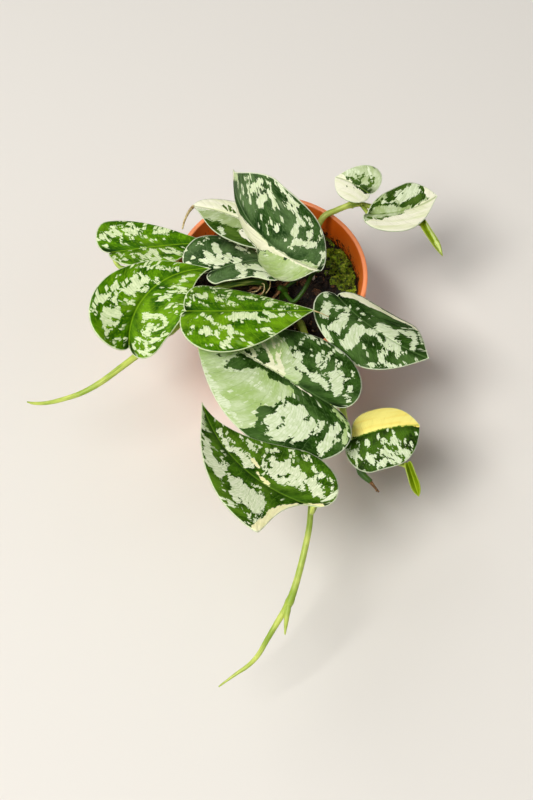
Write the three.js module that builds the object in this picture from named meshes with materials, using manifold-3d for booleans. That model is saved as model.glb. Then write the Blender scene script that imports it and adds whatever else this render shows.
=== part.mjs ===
// Satin pothos in a tapered plastic nursery pot.
// Millimetres, +Z up, +Y away from the viewer. The origin is the centre of the pot's base.

import * as THREE from "three";
import { mergeVertices } from "three/addons/utils/BufferGeometryUtils.js";
import Module from "manifold-3d";

const wasm = await Module();
wasm.setup();

// ---- Driving dimensions -------------------------------------------------------------

const POT_HEIGHT = 92;
const RIM_RADIUS = 60;
const BASE_RADIUS = 47;
const POT_WALL = 1.6;
const RIM_BAND_HEIGHT = 9;
const RIM_BAND_PROUD = 1.3;
const POT_FLOOR = 2;
const FOOT_RADIUS = 44;
const FOOT_CHAMFER = 2.5;
const BAND_CHAMFER = 1;
const RIM_BEVEL = 0.7;
const POT_SEGMENTS = 64;
const DRAIN_HOLES = 6;
const DRAIN_RADIUS = 4;
const DRAIN_CIRCLE = 30;
const HOLE_SIDES = 12;

const SOIL_TOP = 70;
const SOIL_RELIEF = 1.3;
const SOIL_LEAN = 2.5;
const SOIL_SECTORS = 40;
const SOIL_RINGS = 8;
const CLEARANCE = 0.3;
const HOLE_DEPTH = 16;

const BLADE_THICKNESS = 0.8;
const BLADE_ROWS = 14;
const BLADE_COLUMNS = 4;
const SMALL_BLADE_ROWS = 8;
const SMALL_BLADE_COLUMNS = 3;
const SMALL_BLADE_LENGTH = 30;
const MIDRIB_STEPS = 32;
const STEM_SIDES = 8;
const STEM_STEPS = 2;
const PETIOLE_SIDES = 6;
const PETIOLE_INSET = 1.5;

const degrees = THREE.MathUtils.degToRad;
const lerp = THREE.MathUtils.lerp;

// ---- Materials ----------------------------------------------------------------------

const matte = (color, roughness) => new THREE.MeshStandardMaterial({ color, roughness, metalness: 0 });

const potPlastic = matte(0xd9712f, 0.55);
const pottingMix = matte(0x2a1d12, 0.95);
const stemGreen = matte(0xa9bf4a, 0.5);
const brightLeaf = matte(0x5f9a2a, 0.45);
const deepLeaf = matte(0x3f6b3c, 0.45);
const paleLeaf = matte(0xbfd3a0, 0.45);
const yellowLeaf = matte(0xe8dc78, 0.45);

// ---- Solids and booleans ------------------------------------------------------------

function toManifold(geometry) {
  const bare = geometry.clone();
  bare.deleteAttribute("normal");
  bare.deleteAttribute("uv");
  const merged = mergeVertices(bare, 1e-4);
  return new wasm.Manifold(new wasm.Mesh({
    numProp: 3,
    vertProperties: new Float32Array(merged.attributes.position.array),
    triVerts: new Uint32Array(merged.index.array),
  }));
}

function toGeometry(manifold) {
  const mesh = manifold.getMesh();
  const geometry = new THREE.BufferGeometry();
  geometry.setAttribute("position", new THREE.BufferAttribute(mesh.vertProperties, 3));
  geometry.setIndex(new THREE.BufferAttribute(mesh.triVerts, 1));
  geometry.computeVertexNormals();
  return geometry;
}

const join = (geometries) => toGeometry(geometries.map(toManifold).reduce((all, one) => all.add(one)));

function cut(geometry, tools) {
  const body = tools.map(toManifold).reduce((left, tool) => left.subtract(tool), toManifold(geometry));
  return toGeometry(body);
}

function indexed(points, triangles) {
  const geometry = new THREE.BufferGeometry();
  geometry.setAttribute("position", new THREE.Float32BufferAttribute(points.flatMap((p) => p.toArray()), 3));
  geometry.setIndex(triangles);
  geometry.computeVertexNormals();
  return geometry;
}

// ---- Pot and soil -------------------------------------------------------------------

const innerRadius = (z) => lerp(BASE_RADIUS, RIM_RADIUS - RIM_BAND_PROUD, z / POT_HEIGHT) - POT_WALL;

function potGeometry() {
  const bandFoot = POT_HEIGHT - RIM_BAND_HEIGHT;
  const bandInner = innerRadius(bandFoot) + POT_WALL;
  const profile = [
    [0, 0],
    [FOOT_RADIUS, 0],
    [BASE_RADIUS, FOOT_CHAMFER],
    [bandInner, bandFoot],
    [RIM_RADIUS - BAND_CHAMFER, bandFoot],
    [RIM_RADIUS, bandFoot + BAND_CHAMFER],
    [RIM_RADIUS, POT_HEIGHT - RIM_BEVEL],
    [RIM_RADIUS - RIM_BEVEL, POT_HEIGHT],
    [innerRadius(POT_HEIGHT) + RIM_BEVEL, POT_HEIGHT],
    [innerRadius(POT_HEIGHT), POT_HEIGHT - RIM_BEVEL],
    [innerRadius(POT_FLOOR), POT_FLOOR],
    [0, POT_FLOOR],
  ].map(([r, z]) => new THREE.Vector2(r, z));
  const wall = new THREE.LatheGeometry(profile, POT_SEGMENTS).rotateX(Math.PI / 2);
  const holes = Array.from({ length: DRAIN_HOLES }, (_, i) => {
    const angle = (i / DRAIN_HOLES) * 2 * Math.PI;
    const hole = new THREE.CylinderGeometry(DRAIN_RADIUS, DRAIN_RADIUS, 3 * POT_FLOOR, HOLE_SIDES);
    hole.rotateX(Math.PI / 2);
    return hole.translate(DRAIN_CIRCLE * Math.cos(angle), DRAIN_CIRCLE * Math.sin(angle), POT_FLOOR / 2);
  });
  return cut(wall, holes);
}

// The top of the soil: a low mound with lumps, higher against the right wall.
function soilHeight(x, y) {
  const lumps = Math.sin(0.31 * x + 1.1) * Math.cos(0.27 * y - 0.6) + 0.5 * Math.sin(0.71 * x - 0.53 * y);
  return SOIL_TOP + SOIL_RELIEF * lumps + SOIL_LEAN * Math.max(0, x / RIM_RADIUS);
}

function soilGeometry(roots) {
  const bottom = POT_FLOOR + CLEARANCE;
  const topRadius = innerRadius(SOIL_TOP - 2 * SOIL_RELIEF) - CLEARANCE;
  const points = [new THREE.Vector3(0, 0, bottom), new THREE.Vector3(0, 0, soilHeight(0, 0))];
  const ringStart = (ring) => 2 + ring * SOIL_SECTORS;
  const addRing = (radius, height) => {
    for (let i = 0; i < SOIL_SECTORS; i++) {
      const angle = (i / SOIL_SECTORS) * 2 * Math.PI;
      const x = Math.cos(angle);
      const y = Math.sin(angle);
      points.push(new THREE.Vector3(radius * x, radius * y, height(radius * x, radius * y)));
    }
  };
  addRing(innerRadius(bottom) - CLEARANCE, () => bottom);
  for (let ring = SOIL_RINGS; ring >= 1; ring--) {
    addRing((topRadius * ring) / SOIL_RINGS, soilHeight);
  }
  const triangles = [];
  for (let i = 0; i < SOIL_SECTORS; i++) {
    const next = (i + 1) % SOIL_SECTORS;
    triangles.push(0, 2 + next, 2 + i);
    triangles.push(1, ringStart(SOIL_RINGS) + i, ringStart(SOIL_RINGS) + next);
    for (let ring = 0; ring < SOIL_RINGS; ring++) {
      const low = ringStart(ring);
      const high = ringStart(ring + 1);
      triangles.push(low + i, low + next, high + next);
      triangles.push(low + i, high + next, high + i);
    }
  }
  const holes = roots.map(({ x, y, radius }) => {
    const length = 2 * HOLE_DEPTH;
    const hole = new THREE.CylinderGeometry(radius + CLEARANCE, radius + CLEARANCE, length, HOLE_SIDES);
    return hole.rotateX(Math.PI / 2).translate(x, y, SOIL_TOP - HOLE_DEPTH + length / 2);
  });
  return cut(indexed(points, triangles), holes);
}

// ---- Leaf blades --------------------------------------------------------------------

// A blade grows from base along its midrib. heading turns it about +Z, pitch lifts it and
// roll lowers its left side; droop, sweep and twist say how much these change by the tip.
// Each half, left then right, has its width, the backward reach of its lobe, where along
// the midrib it is widest, its fullness by the tip, its fold up from the midrib at base
// and tip, and the curl that it gains out to the margin. Lengths are mm, angles degrees.
// A nip draws one half's margin in by a share of its width. Its span says where along the
// margin, from the sinus at 0 to the tip at 1, this starts, is whole, fades and ends.

class Blade {
  constructor(spec) {
    Object.assign(this, { thickness: BLADE_THICKNESS, blunt: [0.3, 0.3], nips: [] }, spec);
    this.spine = [new THREE.Vector3(...this.base)];
    for (let i = 0; i < MIDRIB_STEPS; i++) {
      const { along } = this.axes(((i + 0.5) / MIDRIB_STEPS) * this.length);
      this.spine.push(this.spine[i].clone().addScaledVector(along, this.length / MIDRIB_STEPS));
    }
  }

  share(x) {
    return THREE.MathUtils.clamp(x / this.length, 0, 1);
  }

  axes(x) {
    const k = this.share(x);
    const heading = degrees(this.heading + this.sweep * k);
    const pitch = degrees(this.pitch - this.droop * k);
    const roll = degrees(this.roll + this.twist * k);
    const along = new THREE.Vector3(
      Math.cos(pitch) * Math.cos(heading),
      Math.cos(pitch) * Math.sin(heading),
      Math.sin(pitch),
    );
    const level = new THREE.Vector3(-Math.sin(heading), Math.cos(heading), 0);
    const left = level.applyAxisAngle(along, roll);
    const up = new THREE.Vector3().crossVectors(along, left);
    return { along, left, up };
  }

  spinePoint(x) {
    const step = this.share(x) * MIDRIB_STEPS;
    const i = Math.min(Math.floor(step), MIDRIB_STEPS - 1);
    const point = this.spine[i].clone().lerp(this.spine[i + 1], step - i);
    return point.addScaledVector(this.axes(x).along, x - this.share(x) * this.length);
  }

  foldAt(half, x) {
    return degrees(lerp(this.fold[half][0], this.fold[half][1], this.share(x)));
  }

  // Bends the flat place (x, y) into space, y positive to the left, and lifts it off the blade.
  point(x, y, lift) {
    const half = y >= 0 ? 0 : 1;
    const side = 1 - 2 * half;
    const fold = this.foldAt(half, x);
    const curl = degrees(this.curl[half]);
    const bendRadius = this.width[half] / curl;
    const angle = fold + Math.abs(y) / bendRadius;
    const sideways = (Math.sin(angle) - Math.sin(fold)) * bendRadius;
    const upwards = (Math.cos(fold) - Math.cos(angle)) * bendRadius;
    const slope = y === 0 ? (this.foldAt(0, x) - this.foldAt(1, x)) / 2 : side * angle;
    const { left, up } = this.axes(x);
    return this.spinePoint(x)
      .addScaledVector(left, side * sideways - lift * Math.sin(slope))
      .addScaledVector(up, upwards + lift * Math.cos(slope));
  }

  // The outline of one half from the sinus to the tip, as two cubic curves.
  outline(half) {
    const width = this.width[half];
    const lobe = this.lobe[half];
    const widest = this.widest[half] * this.length;
    const rest = this.length - widest;
    const at = (x, y) => new THREE.Vector2(x, y);
    const rear = new THREE.CubicBezierCurve(
      at(0, 0),
      at(-1.6 * lobe, 0.06 * width),
      at(-1.15 * lobe, width),
      at(widest, width),
    );
    const front = new THREE.CubicBezierCurve(
      at(widest, width),
      at(widest + 0.42 * rest, width),
      at(this.length - this.blunt[half] * rest, this.full[half] * width),
      at(this.length, 0),
    );
    return (t) => {
      const margin = t < 0.5 ? rear.getPoint(2 * t) : front.getPoint(2 * t - 1);
      margin.y *= this.drawnIn(half, t);
      return margin;
    };
  }

  drawnIn(half, t) {
    const { smoothstep } = THREE.MathUtils;
    const depths = this.nips
      .filter((nip) => nip.half === half)
      .map(({ span: [start, whole, fade, end], depth }) => (
        depth * smoothstep(t, start, whole) * (1 - smoothstep(t, fade, end))
      ));
    return depths.reduce((share, depth) => share * (1 - depth), 1);
  }

  geometry() {
    const small = this.length < SMALL_BLADE_LENGTH;
    const rowCount = small ? SMALL_BLADE_ROWS : BLADE_ROWS;
    const columnCount = small ? SMALL_BLADE_COLUMNS : BLADE_COLUMNS;
    const points = [];
    const place = (x, y) => {
      points.push(this.point(x, y, this.thickness / 2), this.point(x, y, -this.thickness / 2));
      return points.length - 2;
    };
    const ribX = (row) => (this.length * row) / rowCount;
    const rib = Array.from({ length: rowCount + 1 }, (_, row) => place(ribX(row), 0));
    const triangles = [];
    for (const half of [0, 1]) {
      const side = 1 - 2 * half;
      const edge = this.outline(half);
      const rows = rib.map((middle, row) => {
        if (row === 0 || row === rowCount) return Array(columnCount + 1).fill(middle);
        const margin = edge(row / rowCount);
        const outward = Array.from({ length: columnCount }, (_, i) => (i + 1) / columnCount);
        return [middle, ...outward.map((k) => place(lerp(ribX(row), margin.x, k), side * margin.y * k))];
      });
      const face = (a, b, c) => {
        const [p, q] = half === 0 ? [b, c] : [c, b];
        triangles.push(a, p, q, a + 1, q + 1, p + 1);
      };
      const wall = (a, b) => triangles.push(a, a + 1, b + 1, a, b + 1, b);
      for (let row = 0; row < rowCount; row++) {
        const [here, next] = [rows[row], rows[row + 1]];
        for (let i = 0; i < columnCount; i++) {
          if (row > 0) face(here[i], next[i], here[i + 1]);
          if (row < rowCount - 1) face(next[i], next[i + 1], here[i + 1]);
        }
        const [a, b] = [here[columnCount], next[columnCount]];
        if (half === 0) wall(b, a);
        else wall(a, b);
      }
    }
    return indexed(points, triangles);
  }
}

const blades = {
  leaf_top: new Blade({
    base: [29, -25, 130], length: 89, heading: 174, pitch: 20, roll: -40, droop: 16, sweep: -86, twist: -31,
    width: [29, 35], lobe: [-7, 2], widest: [0.62, 0.61], full: [0.17, 0.23],
    fold: [[-1, -9], [7, 12]], curl: [-69, -14],
    nips: [
      { half: 0, span: [0.41, 0.435, 2, 3], depth: 0.66 },
      { half: 0, span: [0.45, 0.8, 2, 3], depth: 0.45 },
    ],
  }),
  leaf_back: new Blade({
    base: [0, 16, 109], length: 56, heading: 145, pitch: 7, roll: 7, droop: 24, sweep: 14, twist: 0,
    width: [20, 12], lobe: [7, 6], widest: [0.38, 0.38], full: [0.3, 0.8], blunt: [0.27, 0.07],
    fold: [[9, 9], [4, 9]], curl: [-11, -18],
  }),
  leaf_middle: new Blade({
    base: [-36, -9.7, 107.4], length: 60, heading: 24, pitch: 2, roll: -14, droop: 36, sweep: -7, twist: -11,
    width: [29, 26], lobe: [14, 6], widest: [0.25, 0.5], full: [0.14, 0.16],
    fold: [[18, -18], [11, 6]], curl: [-11, -13],
    nips: [{ half: 1, span: [0.22, 0.34, 0.44, 0.5], depth: 0.27 }],
  }),
  leaf_left: new Blade({
    base: [-83, -62, 107], length: 80, heading: 96, pitch: 10, roll: 4, droop: 17, sweep: -95, twist: -12,
    width: [27, 29], lobe: [5, 11], widest: [0.25, 0.5], full: [0.16, 0.32],
    fold: [[39, -10], [9, 9]], curl: [-15, -6],
  }),
  leaf_upper_left: new Blade({
    base: [-99, 10, 99], length: 64, heading: 12, pitch: -1, roll: -11, droop: 3, sweep: -6, twist: 0,
    width: [24, 23], lobe: [7, 2], widest: [0.02, 0.37], full: [0.21, 0.16],
    fold: [[15, 10], [23, 8]], curl: [-9, -10],
  }),
  leaf_centre: new Blade({
    base: [-49, -51.5, 128], length: 75, heading: 0, pitch: 0, roll: -12, droop: 10, sweep: 7, twist: -5,
    width: [27, 31], lobe: [2, 4], widest: [0.19, 0.27], full: [0.4, 0.34],
    fold: [[5, -9], [4, 2]], curl: [-28, -16],
  }),
  leaf_big: new Blade({
    base: [35, -106, 114], length: 104, heading: 149, pitch: 7, roll: 6, droop: 24, sweep: -12, twist: 5,
    width: [45, 38], lobe: [20, 11], widest: [0.22, 0.27], full: [0.32, 0.14],
    fold: [[2, 10], [7, 3]], curl: [-14, -18],
  }),
  leaf_front: new Blade({
    base: [23.5, -174.4, 128], length: 91.3, heading: 165, pitch: 2, roll: 17, droop: 1, sweep: -60, twist: 14,
    width: [33.4, 33.4], lobe: [-13.2, 10.8], widest: [0.21, 0.25], full: [0.23, 0.17],
    fold: [[5, 17], [13, 0]], curl: [-8, -9],
  }),
  leaf_right: new Blade({
    base: [40, -26, 105], length: 68, heading: -53, pitch: -3, roll: -10, droop: -1, sweep: 29, twist: 1,
    width: [24.5, 28], lobe: [2, 8], widest: [0.65, 0.47], full: [0.4, 0.43],
    fold: [[-6, 1], [7, -2]], curl: [-29, -17],
  }),
  leaf_yellow: new Blade({
    base: [45, -120, 99], length: 41, heading: 22, pitch: 11, roll: 5, droop: 15, sweep: -20, twist: 0,
    width: [17.8, 22], lobe: [-2, 6], widest: [0.5, 0.16], full: [0.6, 1.2], blunt: [0.25, 0.04],
    fold: [[-13, -12], [-12, -12]], curl: [-25, -8],
  }),
  leaf_small: new Blade({
    base: [61, 44, 114], length: 24, heading: 145, pitch: 15, roll: -6, droop: 22, sweep: 11, twist: -1,
    width: [14, 16], lobe: [2, 3], widest: [0.38, 0.24], full: [0.7, 0.26], blunt: [0.16, 0.22],
    fold: [[17, 10], [20, 12]], curl: [-9, -8],
  }),
  leaf_back_right: new Blade({
    base: [59, 30, 112], length: 47, heading: -3, pitch: -2, roll: -3, droop: -7, sweep: 38, twist: 4,
    width: [18, 17], lobe: [-1, 3], widest: [0.68, 0.37], full: [0.6, 0.24], blunt: [0.12, 0.3],
    fold: [[8, 15], [17, 9]], curl: [-12, -10],
  }),
  leaf_rolled: new Blade({
    base: [94, 28, 107], length: 25, heading: -57, pitch: -20, roll: 0, droop: 8, sweep: 0, twist: 0,
    width: [5, 5], lobe: [1, 1], widest: [0.3, 0.3], full: [0.3, 0.3],
    fold: [[45, 45], [45, 45]], curl: [60, 60],
  }),
  sheath: new Blade({
    base: [78, -131, 91.5], length: 20, heading: -72, pitch: -12, roll: 15, droop: 12, sweep: 0, twist: 0,
    width: [7, 7], lobe: [0, 0], widest: [0.45, 0.45], full: [0.5, 0.5],
    fold: [[35, 35], [35, 35]], curl: [50, 50],
  }),
};

// ---- Stems --------------------------------------------------------------------------

// A round tube through knots [x, y, z, radius], closed at both ends.
function tube(knots, sides = STEM_SIDES) {
  const centres = knots.map(([x, y, z]) => new THREE.Vector3(x, y, z));
  const curve = new THREE.CatmullRomCurve3(centres, false, "centripetal");
  const steps = STEM_STEPS * (knots.length - 1);
  const points = [];
  const triangles = [];
  let across = new THREE.Vector3(1, 0, 0);
  for (let step = 0; step <= steps; step++) {
    const t = step / steps;
    const place = t * (knots.length - 1);
    const i = Math.min(Math.floor(place), knots.length - 2);
    const radius = lerp(knots[i][3], knots[i + 1][3], place - i);
    const centre = curve.getPoint(t);
    const tangent = curve.getTangent(t);
    across = across.clone().addScaledVector(tangent, -across.dot(tangent)).normalize();
    const other = new THREE.Vector3().crossVectors(tangent, across);
    for (let side = 0; side < sides; side++) {
      const angle = (side / sides) * 2 * Math.PI;
      const spoke = across.clone().multiplyScalar(Math.cos(angle)).addScaledVector(other, Math.sin(angle));
      points.push(centre.clone().addScaledVector(spoke, radius));
    }
  }
  const lastRing = steps * sides;
  for (let side = 0; side < sides; side++) {
    const next = (side + 1) % sides;
    for (let step = 0; step < steps; step++) {
      const [low, high] = [step * sides, (step + 1) * sides];
      triangles.push(low + side, low + next, high + next, low + side, high + next, high + side);
    }
    if (side > 0 && side < sides - 1) {
      triangles.push(0, next, side, lastRing, lastRing + side, lastRing + next);
    }
  }
  return indexed(points, triangles);
}

// A petiole from a point on its stem, by way of any points between, to just under its blade.
function petiole(name, start, via = [], { reach = 6, radius = 1.3 } = {}) {
  const blade = blades[name];
  const { up } = blade.axes(PETIOLE_INSET);
  const droopingFold = Math.max(0, -blade.fold[0][0], -blade.fold[1][0]);
  const gap = blade.thickness / 2 + CLEARANCE + radius * Math.tan(degrees(droopingFold));
  const seat = blade.spinePoint(PETIOLE_INSET).addScaledVector(up, -gap);
  const below = seat.clone().addScaledVector(up, -reach);
  const knots = [start, ...via, below.toArray(), seat.toArray()];
  return tube(knots.map((knot) => [...knot.slice(0, 3), radius]), PETIOLE_SIDES);
}

const ROOT_FOOT = SOIL_TOP - HOLE_DEPTH + 2;
const ROOT_HEAD = SOIL_TOP + 3;

const vines = {
  vine_left: {
    root: { x: -4, y: -6, radius: 2.1 },
    stem: [
      [-4, -6, 79, 2.1], [-3, -7.5, 87, 2.1], [-5, -8.2, 93, 2.1], [-10, -9.5, 96.3, 2.1],
      [-18.7, -12.4, 99, 2.1], [-27, -15.8, 101, 2.1], [-36, -21, 102, 2.1], [-46, -31, 101, 2.1],
      [-56, -43, 98.5, 2.1],
      [-70, -55, 98.5, 2], [-80, -64, 98, 2], [-90, -72.5, 97, 1.9], [-100, -80, 95, 1.8],
      [-110.5, -85, 92, 1.6], [-121.5, -87, 88, 1.4], [-132.5, -87, 83, 1.2], [-141.5, -85, 79, 0.9],
      [-145.5, -83, 77, 0.4],
    ],
    branches: () => [
      petiole("leaf_left", [-72, -57, 98.5], [], { reach: 4 }),
      petiole(
        "leaf_upper_left",
        [-60, -46, 98.5],
        [[-73, -24, 95.5], [-86, 1, 93], [-94, 4, 93]],
        { reach: 3 },
      ),
      petiole("leaf_centre", [-46, -31, 101], [[-50, -43, 106]], { reach: 8 }),
      petiole("leaf_middle", [-27, -15.8, 101], [], { reach: 2.5 }),
    ],
  },
  vine_centre: {
    root: { x: 8, y: -6, radius: 2.6 },
    stem: [[8, -6, 79, 2.6], [7.5, -6.5, 83, 2.6], [5.5, -7.5, 86.5, 1.6]],
    branches: () => [
      petiole("leaf_top", [8, -7, 82], [[14, -16, 84], [20, -11, 88], [25, -4, 94], [28, -8, 108]]),
      petiole("leaf_back", [9, -4, 82], [[20, 3, 87], [21, 12, 94], [12, 18, 101]], { reach: 3 }),
      tube([[6, -8, 84, 1], [2, -13, 84, 1], [-3, -16, 80, 0.8], [-6, -18, 74, 0.6]], PETIOLE_SIDES),
      tube([[8, -4, 84, 1], [13, 0, 84, 0.9], [16, 3, 79, 0.8], [17, 4, 74, 0.6]], PETIOLE_SIDES),
    ],
  },
  vine_front: {
    root: { x: 18, y: -28, radius: 2.1 },
    stem: [
      [18, -28, 79, 2.1], [20, -42, 91, 2.1], [22, -58, 98, 2.1], [24, -80, 100.5, 2.1], [25, -105, 101.5, 2],
      [24.5, -130, 101.5, 1.9], [23.5, -150, 100.5, 1.8], [22, -162, 99, 1.7], [21, -172, 96, 1.7],
      [18, -185.5, 91, 1.8], [14, -199.5, 85, 1.9], [10, -209.5, 79, 2.2], [4, -218, 73, 1.7],
      [-2, -226.5, 67, 1.5], [-7.5, -234.5, 62, 1.4], [-13, -239, 58, 1.2], [-20, -243, 55, 0.9],
      [-29, -248.5, 51, 0.4],
    ],
    branches: () => [
      petiole("leaf_big", [26, -92, 101], [[31, -100, 103]], { reach: 5 }),
      petiole("leaf_front", [24, -148, 100.5], [[25, -159, 104]], { reach: 5 }),
      tube([[10, -208, 79.5, 1.6], [9, -214, 78, 1.7], [8, -221, 75, 1.1], [7.5, -226, 73, 0.4]]),
    ],
  },
  vine_right: {
    root: { x: 33, y: -15, radius: 2 },
    stem: [
      [33, -15, 79, 2], [37, -29, 92, 2], [42, -42, 97.3, 2], [44, -58, 96.5, 2], [43, -78, 94, 2],
      [42, -97, 91, 2], [44.5, -113, 87.5, 1.9], [49.5, -127, 84.5, 1.9], [52.5, -134, 83.5, 2.1],
      [57, -138.5, 83, 1.6], [61, -143.5, 82, 0.5],
    ],
    branches: () => [
      petiole("leaf_right", [36, -27, 90.5], [[40, -27, 96]], { reach: 4 }),
      petiole("leaf_yellow", [42.5, -101, 90.2], [[43, -112, 91]], { reach: 5, radius: 1 }),
      petiole("sheath", [44.5, -113, 87.5], [[58, -123, 86], [71, -128, 87]], { reach: 2 }),
    ],
  },
  vine_back: {
    root: { x: 26, y: 26, radius: 2 },
    stem: [
      [26, 26, 79, 2], [29, 34, 90, 2], [34, 40.5, 96, 2], [41, 43.5, 97.5, 1.9], [47, 45.5, 99, 1.9],
      [51.5, 46.5, 100, 2.3], [56, 46, 101, 1.7], [64, 42.5, 102.5, 1.6],
    ],
    branches: () => [
      petiole("leaf_rolled", [63, 43, 102.4], [[78, 35, 103.5], [89, 30, 104]], { reach: 1.5 }),
      petiole("leaf_small", [52, 46.5, 100.5], [[57, 46, 105]], { reach: 3 }),
      petiole("leaf_back_right", [57, 45.5, 101], [[60, 38, 103.5]], { reach: 3 }),
    ],
  },
};

function vineGeometry({ root, stem, branches }) {
  const foot = [root.x, root.y, ROOT_FOOT, root.radius];
  const collar = [root.x, root.y, ROOT_HEAD, root.radius];
  return join([tube([foot, collar, ...stem]), ...branches()]);
}

// ---- Assembly -----------------------------------------------------------------------

const bladeMaterials = {
  leaf_top: deepLeaf,
  leaf_back: paleLeaf,
  leaf_middle: deepLeaf,
  leaf_big: deepLeaf,
  leaf_right: deepLeaf,
  leaf_yellow: yellowLeaf,
  leaf_back_right: paleLeaf,
};

const plant = new THREE.Group();

function add(name, geometry, material) {
  const mesh = new THREE.Mesh(geometry, material);
  mesh.name = name;
  plant.add(mesh);
}

add("pot", potGeometry(), potPlastic);
add("soil", soilGeometry(Object.values(vines).map((vine) => vine.root)), pottingMix);
for (const [name, vine] of Object.entries(vines)) {
  add(name, vineGeometry(vine), stemGreen);
}
for (const [name, blade] of Object.entries(blades)) {
  add(name, blade.geometry(), bladeMaterials[name] ?? brightLeaf);
}

export default plant;
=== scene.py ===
"""Dresses the frame of a potted satin pothos: blades, vines, potting mix, moss and pot."""

import logging
import math
import random
from collections.abc import Callable, Iterable, Sequence
from dataclasses import dataclass, field
from enum import Enum
from functools import cache

import bmesh
import bpy
from mathutils import Matrix, Vector, noise

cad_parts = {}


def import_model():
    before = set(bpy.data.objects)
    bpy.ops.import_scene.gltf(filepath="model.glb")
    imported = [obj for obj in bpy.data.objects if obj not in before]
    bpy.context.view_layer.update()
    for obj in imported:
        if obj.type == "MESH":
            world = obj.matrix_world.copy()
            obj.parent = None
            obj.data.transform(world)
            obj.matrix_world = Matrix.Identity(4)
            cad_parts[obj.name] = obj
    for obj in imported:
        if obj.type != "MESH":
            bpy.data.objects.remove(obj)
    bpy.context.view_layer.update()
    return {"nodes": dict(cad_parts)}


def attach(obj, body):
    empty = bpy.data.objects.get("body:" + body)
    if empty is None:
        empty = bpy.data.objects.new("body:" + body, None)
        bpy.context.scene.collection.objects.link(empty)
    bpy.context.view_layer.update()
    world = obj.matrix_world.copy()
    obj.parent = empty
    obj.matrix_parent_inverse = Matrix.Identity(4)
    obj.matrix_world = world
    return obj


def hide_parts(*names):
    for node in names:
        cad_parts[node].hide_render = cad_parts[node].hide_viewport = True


Rgb = tuple[float, float, float]
Pair = tuple[float, float]
Spot = tuple[float, float, float]
Knot = tuple[float, float, float, float]
Stroke = tuple[float, float, float, float, float]
BMesh = bmesh.types.BMesh
Material = bpy.types.Material
Socket = bpy.types.NodeSocket
Sockets = dict[str, Socket]
Tree = bpy.types.NodeTree
Piece = bpy.types.Object
Feeds = dict[str | int, object] | None

BODY = "root"
FLOAT, VECTOR = "NodeSocketFloat", "NodeSocketVector"

# In metres: one millimetre, how near vertices merge and how short an edge goes.
MM = 0.001
MERGE = 1e-6
SLIVER = 1e-7

# In millimetres: the gap between lateral veins, one unit of the attribute "marks", the height of
# the potting mix, and the heights of the knots of a stem's foot.
VEIN_SPACING = 5.2
MARK_UNIT = 10.0
SOIL_TOP = 70
STEM_KNOTS = (62, 73, 79)

log = logging.getLogger("pothos")


# ---- Small helpers ----


def mix(a: float, b: float, share: float) -> float:
    """Returns the value that lies the given share of the way from a to b."""
    return a + (b - a) * share


def clamp(value: float, low: float = 0.0, high: float = 1.0) -> float:
    """Returns the value held between low and high."""
    return max(low, min(high, value))


def tint(red: int, green: int, blue: int) -> Rgb:
    """Turns a screen colour of 0 to 255 a channel into linear light."""
    shares = (channel / 255 for channel in (red, green, blue))
    return tuple(s / 12.92 if s <= 0.04045 else ((s + 0.055) / 1.055) ** 2.4 for s in shares)


def bent_grid(
    columns: int,
    rows: int,
    place: Callable[[float, float], Vector],
    maps: dict[str, Callable[[float, float], Pair]],
    marks: Callable[[float, float], Sequence[float]] | None = None,
) -> BMesh:
    """Bends a flat grid into a surface and keeps its flat places as UV maps.

    Args:
        columns: Faces across.
        rows: Faces along.
        place: Gives the place in metres of (across, along), each from 0 to 1.
        maps: Gives for each UV map's name the UV of (across, along).
        marks: Gives the four values of the attribute "marks" at (across, along).

    Returns:
        The bent surface, with vertices that fall together merged.
    """
    bm = bmesh.new()
    for name in maps:
        bm.loops.layers.uv.new(name)
    if marks is not None:
        bm.verts.layers.float_color.new("marks")
    bmesh.ops.create_grid(bm, x_segments=columns, y_segments=rows, size=0.5)
    flat = {vert: (vert.co.x + 0.5, vert.co.y + 0.5) for vert in bm.verts}
    for name, uv_place in maps.items():
        layer = bm.loops.layers.uv[name]
        for face in bm.faces:
            for loop in face.loops:
                loop[layer].uv = uv_place(*flat[loop.vert])
    if marks is not None:
        paint = bm.verts.layers.float_color["marks"]
        for vert, (across, along) in flat.items():
            vert[paint] = marks(across, along)
    for vert, (across, along) in flat.items():
        vert.co = place(across, along)
    bmesh.ops.remove_doubles(bm, verts=bm.verts, dist=MERGE)
    bmesh.ops.dissolve_degenerate(bm, dist=SLIVER, edges=bm.edges)
    return bm


def finished(name: str, bm: BMesh, materials: Iterable[Material]) -> Piece:
    """Puts a bmesh into the scene as a smooth piece.

    Args:
        name: The piece's name.
        bm: Its shape in metres, which is freed.
        materials: Its material slots in order.

    Returns:
        The piece's object, which stands at the origin.
    """
    mesh = bpy.data.meshes.new(name)
    bm.to_mesh(mesh)
    bm.free()
    for material in materials:
        mesh.materials.append(material)
    mesh.polygons.foreach_set("use_smooth", [True] * len(mesh.polygons))
    piece = bpy.data.objects.new(name, mesh)
    bpy.context.scene.collection.objects.link(piece)
    return piece


def pour(source: BMesh, target: BMesh) -> None:
    """Adds one shape to another.

    Args:
        source: The shape to add, which is freed.
        target: The shape that takes it.
    """
    carrier = bpy.data.meshes.new("carrier")
    source.to_mesh(carrier)
    source.free()
    target.from_mesh(carrier)
    bpy.data.meshes.remove(carrier)


# ---- Shader wiring ----


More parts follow.
